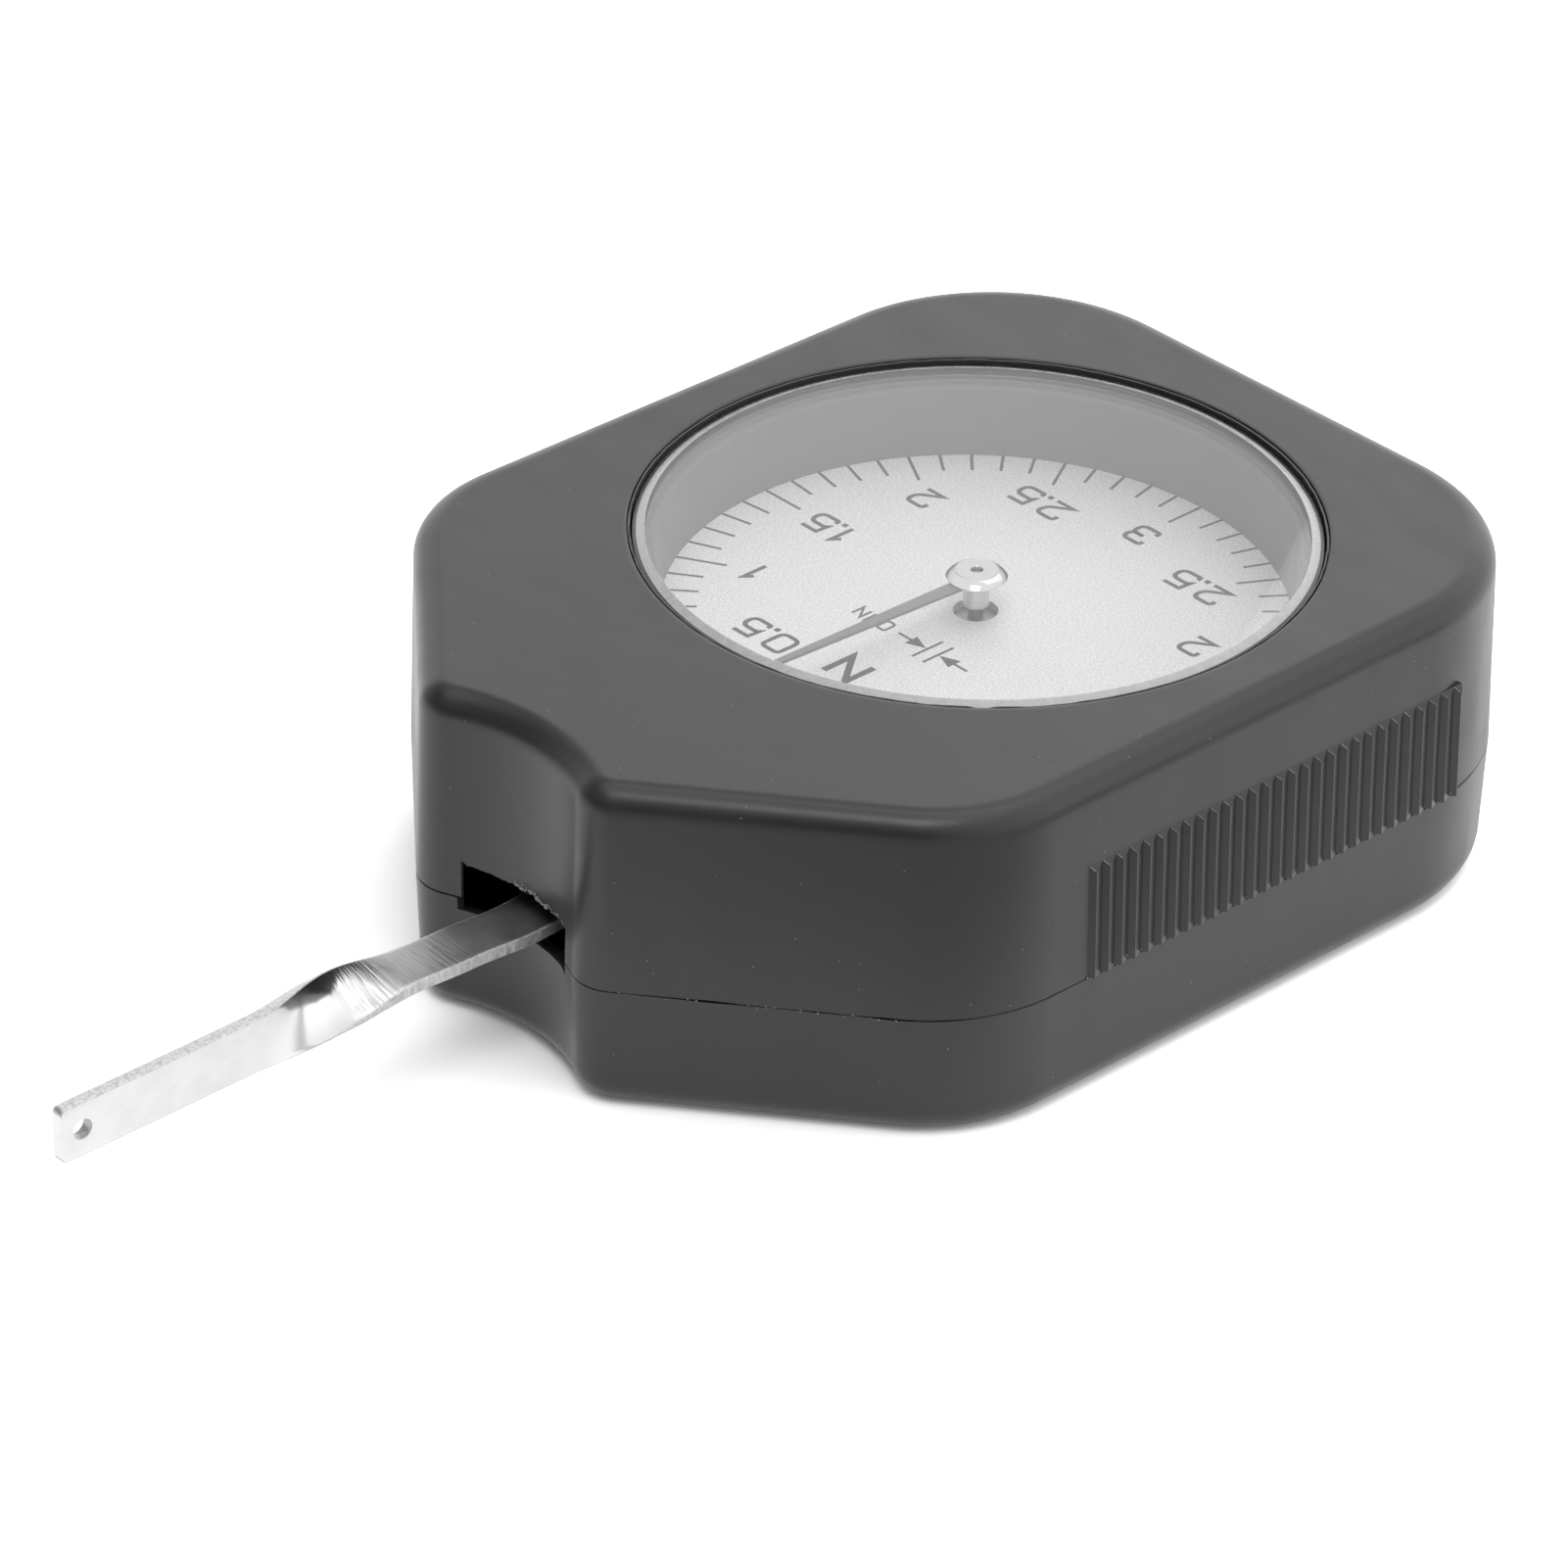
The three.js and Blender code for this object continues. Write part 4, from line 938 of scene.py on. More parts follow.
def slot_relief(bottom, top):
    """What is cut away behind the slot's thin lip."""
    radius = SCOOP_RADIUS + SLOT_LIP
    half = math.asin(SLOT_HALF_WIDTH / radius)
    outline = [tuple(point) for point, _ in arc(SCOOP_CENTRE, radius, math.pi / 2 - half,
                                                math.pi / 2 + half)]
    inside = CASE_WALL + OVERRUN - SCOOP_REACH
    outline += [(-SLOT_HALF_WIDTH - SLOT_FLARE, inside), (SLOT_HALF_WIDTH + SLOT_FLARE, inside)]
    return prism("relief", outline, "Z", bottom, top)


def middles(stem, count):
    """Centres in plan of a numbered row of nodes."""
    spans = [cad_span(f"{stem}_{i + 1}") for i in range(count)]
    return [((low.x + high.x) / 2, (low.y + high.y) / 2) for low, high in spans]


def case_front():
    """The upper shell: its wall and top, the window's opening and well, bosses, ribs and slot."""
    edge_height = CASE_TOP - TOP_EDGE_RADIUS
    edge_inset = front_draft(edge_height)
    wall = [(front_draft(height), height)
            for height in (PARTING + EDGE_SUPPORT, edge_height - EDGE_SUPPORT)]
    wall += edge_profile(edge_inset, edge_height, TOP_EDGE_RADIUS, 1)
    wall.append((edge_inset + TOP_EDGE_RADIUS + EDGE_SUPPORT, CASE_TOP))
    opening = [(OPENING_RADIUS + OPENING_EDGE + EDGE_SUPPORT, CASE_TOP)]
    opening += [(OPENING_RADIUS + OPENING_EDGE * (1 - along), CASE_TOP - OPENING_EDGE * across)
                for across, along in quarter(OPENING_EDGE_STEPS)]
    ledge, ledge_foot = CASE_TOP - LEDGE_DROP, CASE_TOP - LEDGE_DEPTH
    under, well_foot = CASE_TOP - CASE_WALL, DIAL_LOW.z + WELL_FOOT_GAP
    opening += [(OPENING_RADIUS, ledge_foot), (LEDGE_OUTER_RADIUS, ledge_foot),
                (LEDGE_OUTER_RADIUS, ledge, LEDGE_WANDER),
                (LEDGE_INNER_RADIUS, ledge, LEDGE_WANDER),
                (LEDGE_INNER_RADIUS, ledge_foot, LEDGE_WANDER),
                (OPENING_RADIUS, ledge_foot - EDGE_SUPPORT), (OPENING_RADIUS, well_foot),
                (OPENING_RADIUS + WELL_WALL, well_foot), (OPENING_RADIUS + WELL_WALL, under)]
    rings = [outline_ring(SLIT_DEPTH, PARTING), slit_ring(SLIT_DEPTH, 1),
             slit_ring(SLIT_EASE, 1), slit_ring(0.0, 1, SLIT_EASE)]
    rings += [outline_ring(*step) for step in wall] + [circle_ring(*step) for step in opening]
    rings += [outline_ring(CASE_WALL + TOP_DRAFT, under), outline_ring(CASE_WALL, PARTING)]
    made = mesh_object("case_front_shell", *sweep(rings, closed=True), [PLASTIC])
    places = middles("case_screw", 4)
    boolean(made, "UNION", *[rod(CASE_BOSS_RADIUS - FIT_GAP, PARTING + FIT_GAP,
                                 under + CASE_WALL / 2, place) for place in places])
    boolean(made, "UNION", rib_tool(1), rib_tool(-1))
    holes = [rod(CASE_SCREW_RADIUS + FIT_GAP, PARTING - OVERRUN, SCREW_HIGH.z + OVERRUN, place)
             for place in places]
    boolean(made, "DIFFERENCE", *holes, slot_tool())
    slot_top = PARTING + SLOT_ABOVE_PARTING
    boolean(made, "DIFFERENCE", slot_relief(PARTING - OVERRUN, slot_top + SLOT_RELIEF_MARGIN))
    boolean(made, "DIFFERENCE", mould_line_tool())
    coat(made, PLASTIC)
    return smooth(made)


def case_back():
    """The lower shell: its wall and back, bosses with sunk screw holes, and the slot's notch."""
    edge_inset = back_draft(BOTTOM_EDGE_RADIUS)
    support = BOTTOM_EDGE_RADIUS + EDGE_SUPPORT
    wall = [(edge_inset + support, 0.0)]
    wall += reversed(edge_profile(edge_inset, BOTTOM_EDGE_RADIUS, BOTTOM_EDGE_RADIUS, -1))
    wall += [(back_draft(support), support), (0.0, PARTING - EDGE_SUPPORT)]
    inside = [(SLIT_DEPTH, PARTING), (CASE_WALL, PARTING), (CASE_WALL + BOTTOM_DRAFT, CASE_WALL)]
    rings = [outline_ring(*step) for step in wall]
    rings += [slit_ring(0.0, -1, SLIT_EASE), slit_ring(SLIT_EASE, -1), slit_ring(SLIT_DEPTH, -1)]
    rings += [outline_ring(*step) for step in inside]
    made = mesh_object("case_back_shell", *sweep(rings), [PLASTIC])
    places, seats = middles("case_screw", 4), middles("movement_screw", 3)
    seat_top = CASE_WALL + BACK_PLATE_STANDOFF
    bosses = [rod(CASE_BOSS_RADIUS, CASE_WALL / 2, PARTING - FIT_GAP, place) for place in places]
    bosses += [rod(MOVEMENT_BOSS_RADIUS, CASE_WALL / 2, seat_top, place) for place in seats]
    boolean(made, "UNION", *bosses)
    sink, top = SCREW_LOW.z + CASE_SCREW_HEAD_HEIGHT, PARTING + OVERRUN
    head, shank = CASE_SCREW_HEAD_RADIUS + FIT_GAP, CASE_SCREW_RADIUS + FIT_GAP
    profile = [(0, -OVERRUN), (head, -OVERRUN), (head, sink), (shank, sink), (shank, top),
               (0, top)]
    tools = [moved(lathe("sink", profile, SMALL_SEGMENTS), *place) for place in places]
    tools += [rod(MOVEMENT_THREAD_RADIUS, seat_top - MOVEMENT_THREAD_DEPTH, seat_top + OVERRUN,
                  place) for place in seats]
    boolean(made, "DIFFERENCE", *tools, notch_tool())
    boolean(made, "DIFFERENCE",
            slot_relief(PARTING - NOTCH_LEFT_DEPTH - SLOT_RELIEF_MARGIN, PARTING + OVERRUN))
    coat(made, PLASTIC)
    return smooth(made)


def burr(draw, centre, sizes):
    """A torn crumb of plastic as a small uneven lump."""
    lump = bmesh.new()
    bmesh.ops.create_icosphere(lump, subdivisions=2, radius=draw.uniform(*sizes) * MM)
    stretch = Vector([draw.uniform(*span) for span in LUMP_STRETCHES])
    offset = Vector((draw.uniform(0, 50), 0, 0))
    for vertex in lump.verts:
        wave = fields.noise(vertex.co.normalized() * LUMP_WAVES + offset)
        vertex.co = vertex.co * stretch * (1 + LUMP_SWELL * wave) + Vector(centre) * MM
    mesh = bpy.data.meshes.new("burr")
    lump.to_mesh(mesh)
    lump.free()
    return add_object("burr", mesh)


def rib_edge_highlight(draw, side, root):
    """A light sliver on the slanting edge between a rib's short face and its cap: a painted
    highlight of that edge.
    """
    half = RIB_HIGHLIGHT_WIDTH / 2 * draw.uniform(*HIGHLIGHT_SLIVER_THICKNESS)
    run = RIB_PITCH * RIB_CREST_SHARE
    foot_share = draw.uniform(*HIGHLIGHT_SLIVER_FOOT)
    ends = []
    for share in (draw.uniform(*HIGHLIGHT_SLIVER_TOP), foot_share):
        height = PARTING + RIB_HEIGHT - RIB_CAP_DROP * share
        ends.append(Vector((side * (HALF_WIDTH - front_draft(height) + RIB_DEPTH * share),
                            root + run * share, height)))
    across = (ends[1] - ends[0]).cross(Vector((side, 0, 0.6))).normalized() * half
    out = Vector((side, -0.2, 0.6)).normalized() * half
    sections = [[end + offset for offset in (out, across, -out, -across)] for end in ends]
    return mesh_object("rib_highlight_sliver", *sweep(sections))


def burrs_and_rib_highlights():
    """Crumbs on the slot's torn edge, the slit between the shells and the ribs, and light slivers
    on the ribs' slanting edges as painted highlights.
    """
    draw = random.Random(21)
    lumps = []
    slot_top = PARTING + SLOT_ABOVE_PARTING
    for _ in range(SLOT_BURRS):
        x = draw.uniform(*SLOT_BURR_SPAN)
        dent = sum(depth * math.exp(-((x - place) / width) ** 2)
                   for place, width, depth in SLOT_DENTS)
        height = slot_top + dent + draw.uniform(*SLOT_BURR_RISE)
        lumps.append(burr(draw, (x, scoop_front(x) + LUMP_PROUD, height), BURR_SIZES))
    for _ in range(SLOT_CRUMBS):
        x = draw.uniform(*SLOT_CRUMB_SPAN)
        above = x < SLOT_HALF_WIDTH
        height = slot_top if above else PARTING - SIDE_CRUMB_DROP
        height += draw.uniform(0.0, SLOT_CRUMB_RISE if above else SIDE_CRUMB_RISE)
        lumps.append(burr(draw, (x, scoop_front(x), height), CRUMB_SIZES))
    chamfer = [point for point, normal in OUTLINE if on_chamfer(normal)]
    for _ in range(SLIT_CRUMBS):
        point = draw.choice(chamfer)
        height = PARTING + draw.choice((-1, 1)) * draw.uniform(*SLIT_CRUMB_RISE)
        lumps.append(burr(draw, (point.x, point.y, height), CRUMB_SIZES))
    for side in (1, -1):
        roots = rib_roots()
        for _ in range(RIB_CRUMBS):
            y = draw.choice(roots) + draw.uniform(*RIB_CRUMB_SHIFT)
            height = PARTING + abs(draw.gauss(0.0, RIB_CRUMB_SPREAD))
            lumps.append(burr(draw, (side * (HALF_WIDTH + LUMP_PROUD), y, height), CRUMB_SIZES))
        # A light sliver along each rib's slanting edge: painted highlight
        lumps += [rib_edge_highlight(draw, side, root) for root in roots]
    made = joined(lumps, "burrs_and_rib_highlights")
    coat(made, TORN_AND_HIGHLIGHT)
    return smooth(made)


def case_screw(name, place):
    """A slotted cheese-head screw, sunk in the back and turned its own way."""
    head = SCREW_LOW.z
    seat = head + CASE_SCREW_HEAD_HEIGHT
    made = turned(name, [
        (0, head, 0), (CASE_SCREW_HEAD_RADIUS, head, 0.3), (CASE_SCREW_HEAD_RADIUS, seat, 0.1),
        (CASE_SCREW_RADIUS, seat, 0), (CASE_SCREW_RADIUS, SCREW_HIGH.z, 0.3),
        (0, SCREW_HIGH.z, 0),
    ], SMALL_SEGMENTS, [STEEL_TURNED])
    half, reach = DRIVE_SLOT_WIDTH / 2, CASE_SCREW_HEAD_RADIUS + OVERRUN
    drive = rectangle(-half, head - OVERRUN, half, head + DRIVE_SLOT_DEPTH)
    boolean(made, "DIFFERENCE", prism("drive", drive, "Y", -reach, reach))
    coat(made, STEEL_TURNED)
    made.data.transform(Matrix.Rotation(place[0] * SCREW_TURN_PER_MM + place[1], 4, "Z"))
    return smooth(moved(made, *place))


# Window, ring and dial

def window_lens():
    """A flat pane with a light satin bevel round its top, which is painted light, inside a narrow
    darker shoulder, which is painted shade.
    """
    top = LENS_HIGH.z
    made = turned("window_pane", [
        (0, LENS_LOW.z, 0), (LENS_RADIUS, LENS_LOW.z, 0.08),
        (LENS_RADIUS, top - LENS_EDGE_DROP, 0.03),
        (LENS_SHOULDER_RADIUS, top - LENS_SHOULDER_DROP, 0.02),
        (LENS_BEVEL_OUTER_RADIUS, top - LENS_BEVEL_DROP, 0.03),
        (LENS_BEVEL_INNER_RADIUS, top, 0.05), (0, top, 0),
    ], ROUND_SEGMENTS * 2, [CLEAR, BEVEL, SHOULDER_PAINTED_SHADE])
    for vertex in made.data.vertices:
        place = vertex.co.xy / MM
        if place.length > LENS_BEVEL_OUTER_RADIUS - FIT_GAP:
            vertex.co.xy += place.normalized() * gate_swell(place) * MM
    # The tilted faces of the bevel take the light satin: painted light
    for face in made.data.polygons:
        radius = face.center.xy.length / MM
        # Upward faces outside the bevel take the dark satin: painted shade
        if face.normal.z > UPWARD_NORMAL and radius > LENS_BEVEL_OUTER_RADIUS:
            face.material_index = 2
        elif TILTED_NORMAL < face.normal.z < FLAT_NORMAL and radius > LENS_BEVEL_INNER_RADIUS:
            face.material_index = 1
    return smooth(made)


def dial_ring():
    """The ring between the window and the dial, with a narrow top and a lip below it; its flat top
    takes a darker copy of its plastic, as painted shade.
    """
    top = RING_HIGH.z - RING_AIR_GAP
    lip = top - RING_LIP_HEIGHT
    made = turned("reflector_ring", [
        (RING_FOOT_RADIUS, RING_LOW.z, 0), (RING_OUTER_RADIUS, RING_LOW.z, 0.1),
        (RING_OUTER_RADIUS, top, 0.05), (RING_LIP_RADIUS, top, RING_LIP_EASE),
        (RING_LIP_RADIUS, lip, 0.05), (RING_NECK_RADIUS, lip, 0.12),
    ], ROUND_SEGMENTS, [RING, RING_TOP_PAINTED_SHADE], closed=True)
    # The ring's flat top takes the darker copy: painted shade
    for face in made.data.polygons:
        if face.normal.z > FLAT_NORMAL and face.center.z > (lip + FIT_GAP) * MM:
            face.material_index = 1
    return smooth(made)


def dial_plate():
    radius = DIAL_HIGH.x
    return smooth(turned("dial_face", [
        (DIAL_HOLE_RADIUS, DIAL_LOW.z, 0), (radius, DIAL_LOW.z, 0), (radius, DIAL_TOP, 0.1),
        (DIAL_HOLE_RADIUS, DIAL_TOP, 0.06),
    ], ROUND_SEGMENTS, [DIAL], closed=True))


class Print:
    """Thin raised ink on the dial, as closed strips and patches."""

    def __init__(self):
        self.points = []
        self.faces = []

    def add(self, sections, closed=False):
        start = len(self.points)
        points, faces = sweep(sections, closed)
        self.points += points
        self.faces += [tuple(start + i for i in face) for face in faces]

    def patch(self, outline):
        """A filled outline of dial points, convex and counter-clockwise."""
        self.add([[(x, y, height) for x, y in outline] for height in (DIAL_TOP, INK_TOP)])

    def stroke(self, line, width, closed=False):
        """A line of even width along dial points."""
        line = [Vector(p) for p in line]
        line = [point for i, point in enumerate(line)
                if i == 0 or (point - line[i - 1]).length > INK_LEAST_STEP]
        if closed and (line[0] - line[-1]).length < INK_LEAST_STEP:
            line.pop()
        count = len(line)
        sections = []
        for i, point in enumerate(line):
            before = point - line[i - 1] if closed or i > 0 else line[1] - point
            after = line[(i + 1) % count] - point if closed or i < count - 1 else before
            first, second = before.normalized(), after.normalized()
            tangent = (first + second).normalized()
            normal = Vector((-tangent.y, tangent.x))
            mitre = max(INK_MITRE_LIMIT, normal.dot(Vector((-first.y, first.x))))
            spread = width / 2 / mitre
            left, right = point + normal * spread, point - normal * spread
            sections.append([(*left, DIAL_TOP), (*right, DIAL_TOP), (*right, INK_TOP),
                             (*left, INK_TOP)])
        self.add(sections, closed)

    def finish(self, name):
        return mesh_object(name, self.points, self.faces, [INK], weld=False)


# Strokes of each character in a cell of one by one, with the ease of its corners in shares of
# the cell's width, and the cell's width in shares of a digit's
GLYPH_SHARES = {
    "0": (1.0, [([(0.5, 1), (0, 1), (0, 0), (1, 0), (1, 1)], 0.3, True)]),
    "1": (0.48, [([(0.0, 0.72), (0.8, 1.0), (0.8, 0.0)], 0.0, False)]),
    "2": (1.0, [([(0, 0.74), (0, 1), (1, 1), (1, 0.52), (0, 0.0), (1, 0)],
                 [0, 0.3, 0.32, 0.26, 0.0, 0], False)]),
    "3": (1.0, [([(0, 0.8), (0, 1), (1, 1), (1, 0.53), (0.36, 0.53)],
                 [0, 0.28, 0.3, 0.24, 0], False),
                ([(0.36, 0.53), (1, 0.53), (1, 0), (0, 0), (0, 0.22)],
                 [0, 0.24, 0.32, 0.32, 0], False)]),
    "5": (1.0, [([(0.95, 1), (0.06, 1), (0.0, 0.5), (0.12, 0.6), (1, 0.6), (1, 0), (0, 0),
                  (0, 0.18)], [0, 0, 0, 0.1, 0.32, 0.32, 0.28, 0], False)]),
    "N": (1.0, [([(0, 0), (0, 1), (1, 0), (1, 1)], 0.0, False)]),
}


def write(ink, text, centre, height, digit_width, stroke, gap):
    """Text that reads upright from the dial's +Y side: its right is -X and its top is -Y."""
    def width_of(character):
        if character == ".":
            return stroke * POINT_WIDTH_SHARE
        return GLYPH_SHARES[character][0] * digit_width

    total = sum(width_of(c) for c in text) + gap * (len(text) - 1)
    cursor = -total / 2
    inner = height - stroke

    def on_dial(u, v):
        return (centre[0] - u, centre[1] - v)

    for character in text:
        width = width_of(character)
        if character == ".":
            dot = rectangle(cursor, -height / 2, cursor + width, width - height / 2)
            ink.patch([on_dial(u, v) for u, v in dot])
        else:
            for points, ease, closed in GLYPH_SHARES[character][1]:
                left = cursor + stroke / 2
                line = [(left + x * (width - stroke), -inner / 2 + y * inner) for x, y in points]
                if isinstance(ease, list):
                    radii = [e * width for e in ease]
                else:
                    radii = [ease * width] * len(points)
                    radii[0] = 0 if closed else radii[0]
                line = rounded(line, radii, 8, closed)
                ink.stroke([on_dial(u, v) for u, v in line], stroke, closed)
        cursor += width + gap


def dial_point(radius, angle):
    """A point of the print by its angle from the zero mark, which lies towards the arm."""
    return Vector((radius * math.sin(angle), -radius * math.cos(angle))) + PRINT_SHIFT


def scale_ticks():
    ink = Print()
    for i in range(TICK_COUNT):
        angle = 2 * math.pi * i / TICK_COUNT
        inner = TICK_LONG_RADIUS if i % TICKS_PER_NUMBER == 0 else TICK_SHORT_RADIUS
        ink.stroke([dial_point(inner, angle), dial_point(TICK_OUTER_RADIUS, angle)], TICK_WIDTH)
    return ink.finish("scale_ticks")


# Numbers of the scale, and how far each stands off its even place
LABEL_SHIFTS = {"0": (0, 0), "0.5": (0.8, 0.1), "1": (-0.3, -0.45), "1.5": (0.55, -0.2),
                "2": (-0.2, -0.1), "2.5": (-0.1, -0.1), "3": (0, 0)}


def scale_numbers():
    ink = Print()
    labels = list(LABEL_SHIFTS)
    step = 2 * math.pi * TICKS_PER_NUMBER / TICK_COUNT
    for i, label in enumerate(labels):
        sides = (1,) if i in (0, len(labels) - 1) else (1, -1)
        for side in sides:
            centre = dial_point(NUMBER_RADIUS, side * i * step) + Vector(LABEL_SHIFTS[label])
            write(ink, label, centre, NUMBER_HEIGHT, DIGIT_WIDTH, DIGIT_STROKE, DIGIT_GAP)
    return ink.finish("scale_numbers")


# Unit letter and the mark that gives the value of one division
UNIT_PLACE = (0.1, -12.5)
UNIT_HEIGHT = 3.4
UNIT_WIDTH = 2.75
UNIT_STROKE = 0.55
DIVISION_Y = -6.4
DIVISION_TEXT_X = -3.85
DIVISION_TEXT_HEIGHT = 1.4
DIVISION_DIGIT_WIDTH = 1.05
DIVISION_STROKE = 0.22
DIVISION_GAP = 0.24
DIVISION_LINES = (1.75, 2.85)
DIVISION_LINE_LENGTH = 3.0
DIVISION_ARROWS = ((-1.25, 1.6), (5.85, 3.0))
ARROW_HEAD_LENGTH = 1.55
ARROW_HEAD_HALF_WIDTH = 0.62
ARROW_OVERLAP = 0.05


def unit_marks():
    ink = Print()
    write(ink, "N", UNIT_PLACE, UNIT_HEIGHT, UNIT_WIDTH, UNIT_STROKE, 0)
    write(ink, "0.1N", (DIVISION_TEXT_X, DIVISION_Y), DIVISION_TEXT_HEIGHT,
          DIVISION_DIGIT_WIDTH, DIVISION_STROKE, DIVISION_GAP)
    half = DIVISION_LINE_LENGTH / 2
    for x in DIVISION_LINES:
        ink.stroke([(x, DIVISION_Y - half), (x, DIVISION_Y + half)], DIVISION_STROKE)
    for tail, tip in DIVISION_ARROWS:
        way = 1 if tip > tail else -1
        neck = tip - way * ARROW_HEAD_LENGTH
        ink.stroke([(tail, DIVISION_Y), (neck + way * ARROW_OVERLAP, DIVISION_Y)], DIVISION_STROKE)
        corners = [(neck, DIVISION_Y - ARROW_HEAD_HALF_WIDTH), (tip, DIVISION_Y),
                   (neck, DIVISION_Y + ARROW_HEAD_HALF_WIDTH)]
        ink.patch(corners if way > 0 else corners[::-1])
    return ink.finish("unit_marks")


# Pointer

def pointer_hub():
    """A turned cap with a flat top in a fine groove, a bulging bevel, and a stem whose darker tone
    is painted shade.
    """
    top = HUB_HIGH.z
    cap = top - HUB_HEIGHT
    stem_foot = HUB_LOW.z + HUB_STEM_TAPER
    groove = HUB_GROOVE
    profile = [(HUB_HOLE_RADIUS, HUB_LOW.z), (ARBOR_JOURNAL_RADIUS + FIT_GAP, HUB_LOW.z),
               (HUB_STEM_RADIUS - FIT_GAP, stem_foot), (HUB_STEM_RADIUS, stem_foot + FIT_GAP),
               (HUB_STEM_RADIUS, cap), (HUB_RIM_RADIUS - 3 * groove, cap),
               (HUB_RIM_RADIUS - groove, cap + groove)]
    low, high = HUB_BEVEL_TILTS
    radius = (HUB_RIM_RADIUS - HUB_TOP_RADIUS) / (math.sin(high) - math.sin(low))
    for i in range(HUB_BEVEL_STEPS + 1):
        tilt = high + (low - high) * i / HUB_BEVEL_STEPS
        profile.append((HUB_TOP_RADIUS + radius * (math.sin(tilt) - math.sin(low)),
                        top - groove - radius * (math.cos(low) - math.cos(tilt))))
    profile += [(HUB_TOP_RADIUS - groove, top - 2 * groove), (HUB_TOP_RADIUS - 2 * groove, top),
                (HUB_HOLE_RADIUS + groove, top), (HUB_HOLE_RADIUS, top - groove)]
    made = lathe("turned_hub", profile, HUB_SEGMENTS, [HUB, STEM_TURNING_AND_PAINTED_SHADE])
    # Faces of the stem below the cap take the darker copy: painted shade
    for face in made.data.polygons:
        if face.center.z < cap * MM and face.center.xy.length < HUB_STEM_RADIUS * MM:
            face.material_index = 1
    return smooth(made, math.radians(24))


def pointer_needle():
    """A thin tapered blade with a round boss under the hub's cap."""
    length = -NEEDLE_LOW.y
    boss = NEEDLE_BOSS_RADIUS
    bottom, top = NEEDLE_LOW.z, NEEDLE_HIGH.z
    start = math.asin(NEEDLE_ROOT_HALF_WIDTH / boss)
    foot, taper = boss * math.cos(start), NEEDLE_ROOT_HALF_WIDTH - NEEDLE_TIP_HALF_WIDTH
    outline = [(NEEDLE_ROOT_HALF_WIDTH - taper * share, -foot - (length - foot) * share)
               for share in NEEDLE_TAPER_SHARES]
    outline += [(NEEDLE_END_HALF_WIDTH, -length), (-NEEDLE_END_HALF_WIDTH, -length)]
    outline += [(-x, y) for x, y in reversed(outline[:3])]
    for i in range(1, NEEDLE_BOSS_STEPS):
        angle = -math.pi / 2 - start - (2 * math.pi - 2 * start) * i / NEEDLE_BOSS_STEPS
        outline.append((boss * math.cos(angle), boss * math.sin(angle)))
    made = prism("tapered_needle", outline, "Z", bottom, top, [NEEDLE])
    bevel = made.modifiers.new("edge", "BEVEL")
    bevel.width = NEEDLE_EDGE * MM
    bevel.segments = 2
    bake(made)
    boolean(made, "DIFFERENCE", rod(HUB_STEM_RADIUS + FIT_GAP, bottom - OVERRUN, top + OVERRUN))
    coat(made, NEEDLE)
    made.data.transform(Matrix.Rotation(NEEDLE_ANGLE, 4, "Z"))
    return smooth(made)


def pointer_arbor():
    """The shaft that carries the pointer; its tip lies sunk in the hub, with a centre hole."""
    body_low = cad_span("arbor_bush_back")[1].z + ARBOR_END_PLAY
    body_high = cad_span("arbor_bush_front")[0].z - ARBOR_END_PLAY
    tip, end_radius = ARBOR_HIGH.z, HUB_HOLE_RADIUS - FIT_GAP
    return smooth(turned("pointer_shaft", [
        (0, ARBOR_LOW.z, 0), (ARBOR_JOURNAL_RADIUS, ARBOR_LOW.z, 0.08),
        (ARBOR_JOURNAL_RADIUS, body_low, 0.02), (ARBOR_BODY_RADIUS, body_low, 0.08),
        (ARBOR_BODY_RADIUS, body_high, 0.08), (ARBOR_JOURNAL_RADIUS, body_high, 0.02),
        (ARBOR_JOURNAL_RADIUS, HUB_LOW.z, 0.02), (end_radius, HUB_LOW.z, 0.02),
        (end_radius, tip, 0.06), (HUB_HOLE_RADIUS / 2, tip, 0.02),
        (0, tip - HUB_HOLE_RADIUS / 2, 0),
    ], SMALL_SEGMENTS, [SHAFT]))


# Arm

def twist_at(reach):
    """How far the strip has turned about its length, in radians."""
    share = min(1.0, max(0.0, (reach - TWIST_START) / (TWIST_END - TWIST_START)))
    return eased(share) * math.pi / 2


def strip_shift(reach):
    """How far the strip lies off the middle: twisting it has bent it a little sideways."""
    if reach <= STRIP_BENDS[0][0] or reach >= STRIP_BENDS[-1][0]:
        return 0.0
    for (start, low), (end, high) in zip(STRIP_BENDS, STRIP_BENDS[1:]):
        if reach <= end:
            share = (reach - start) / (end - start)
            return low + (high - low) * eased(share)


def strip_half_width(reach):
    """Half the strip's width, with its two corners rounded at the tip."""
    from_tip = -STRIP_LOW.y - reach
    full = STRIP_WIDTH / 2
    if from_tip >= TIP_CORNER:
        return full
    return full - TIP_CORNER + math.sqrt(max(0.0, TIP_CORNER ** 2 - (TIP_CORNER - from_tip) ** 2))


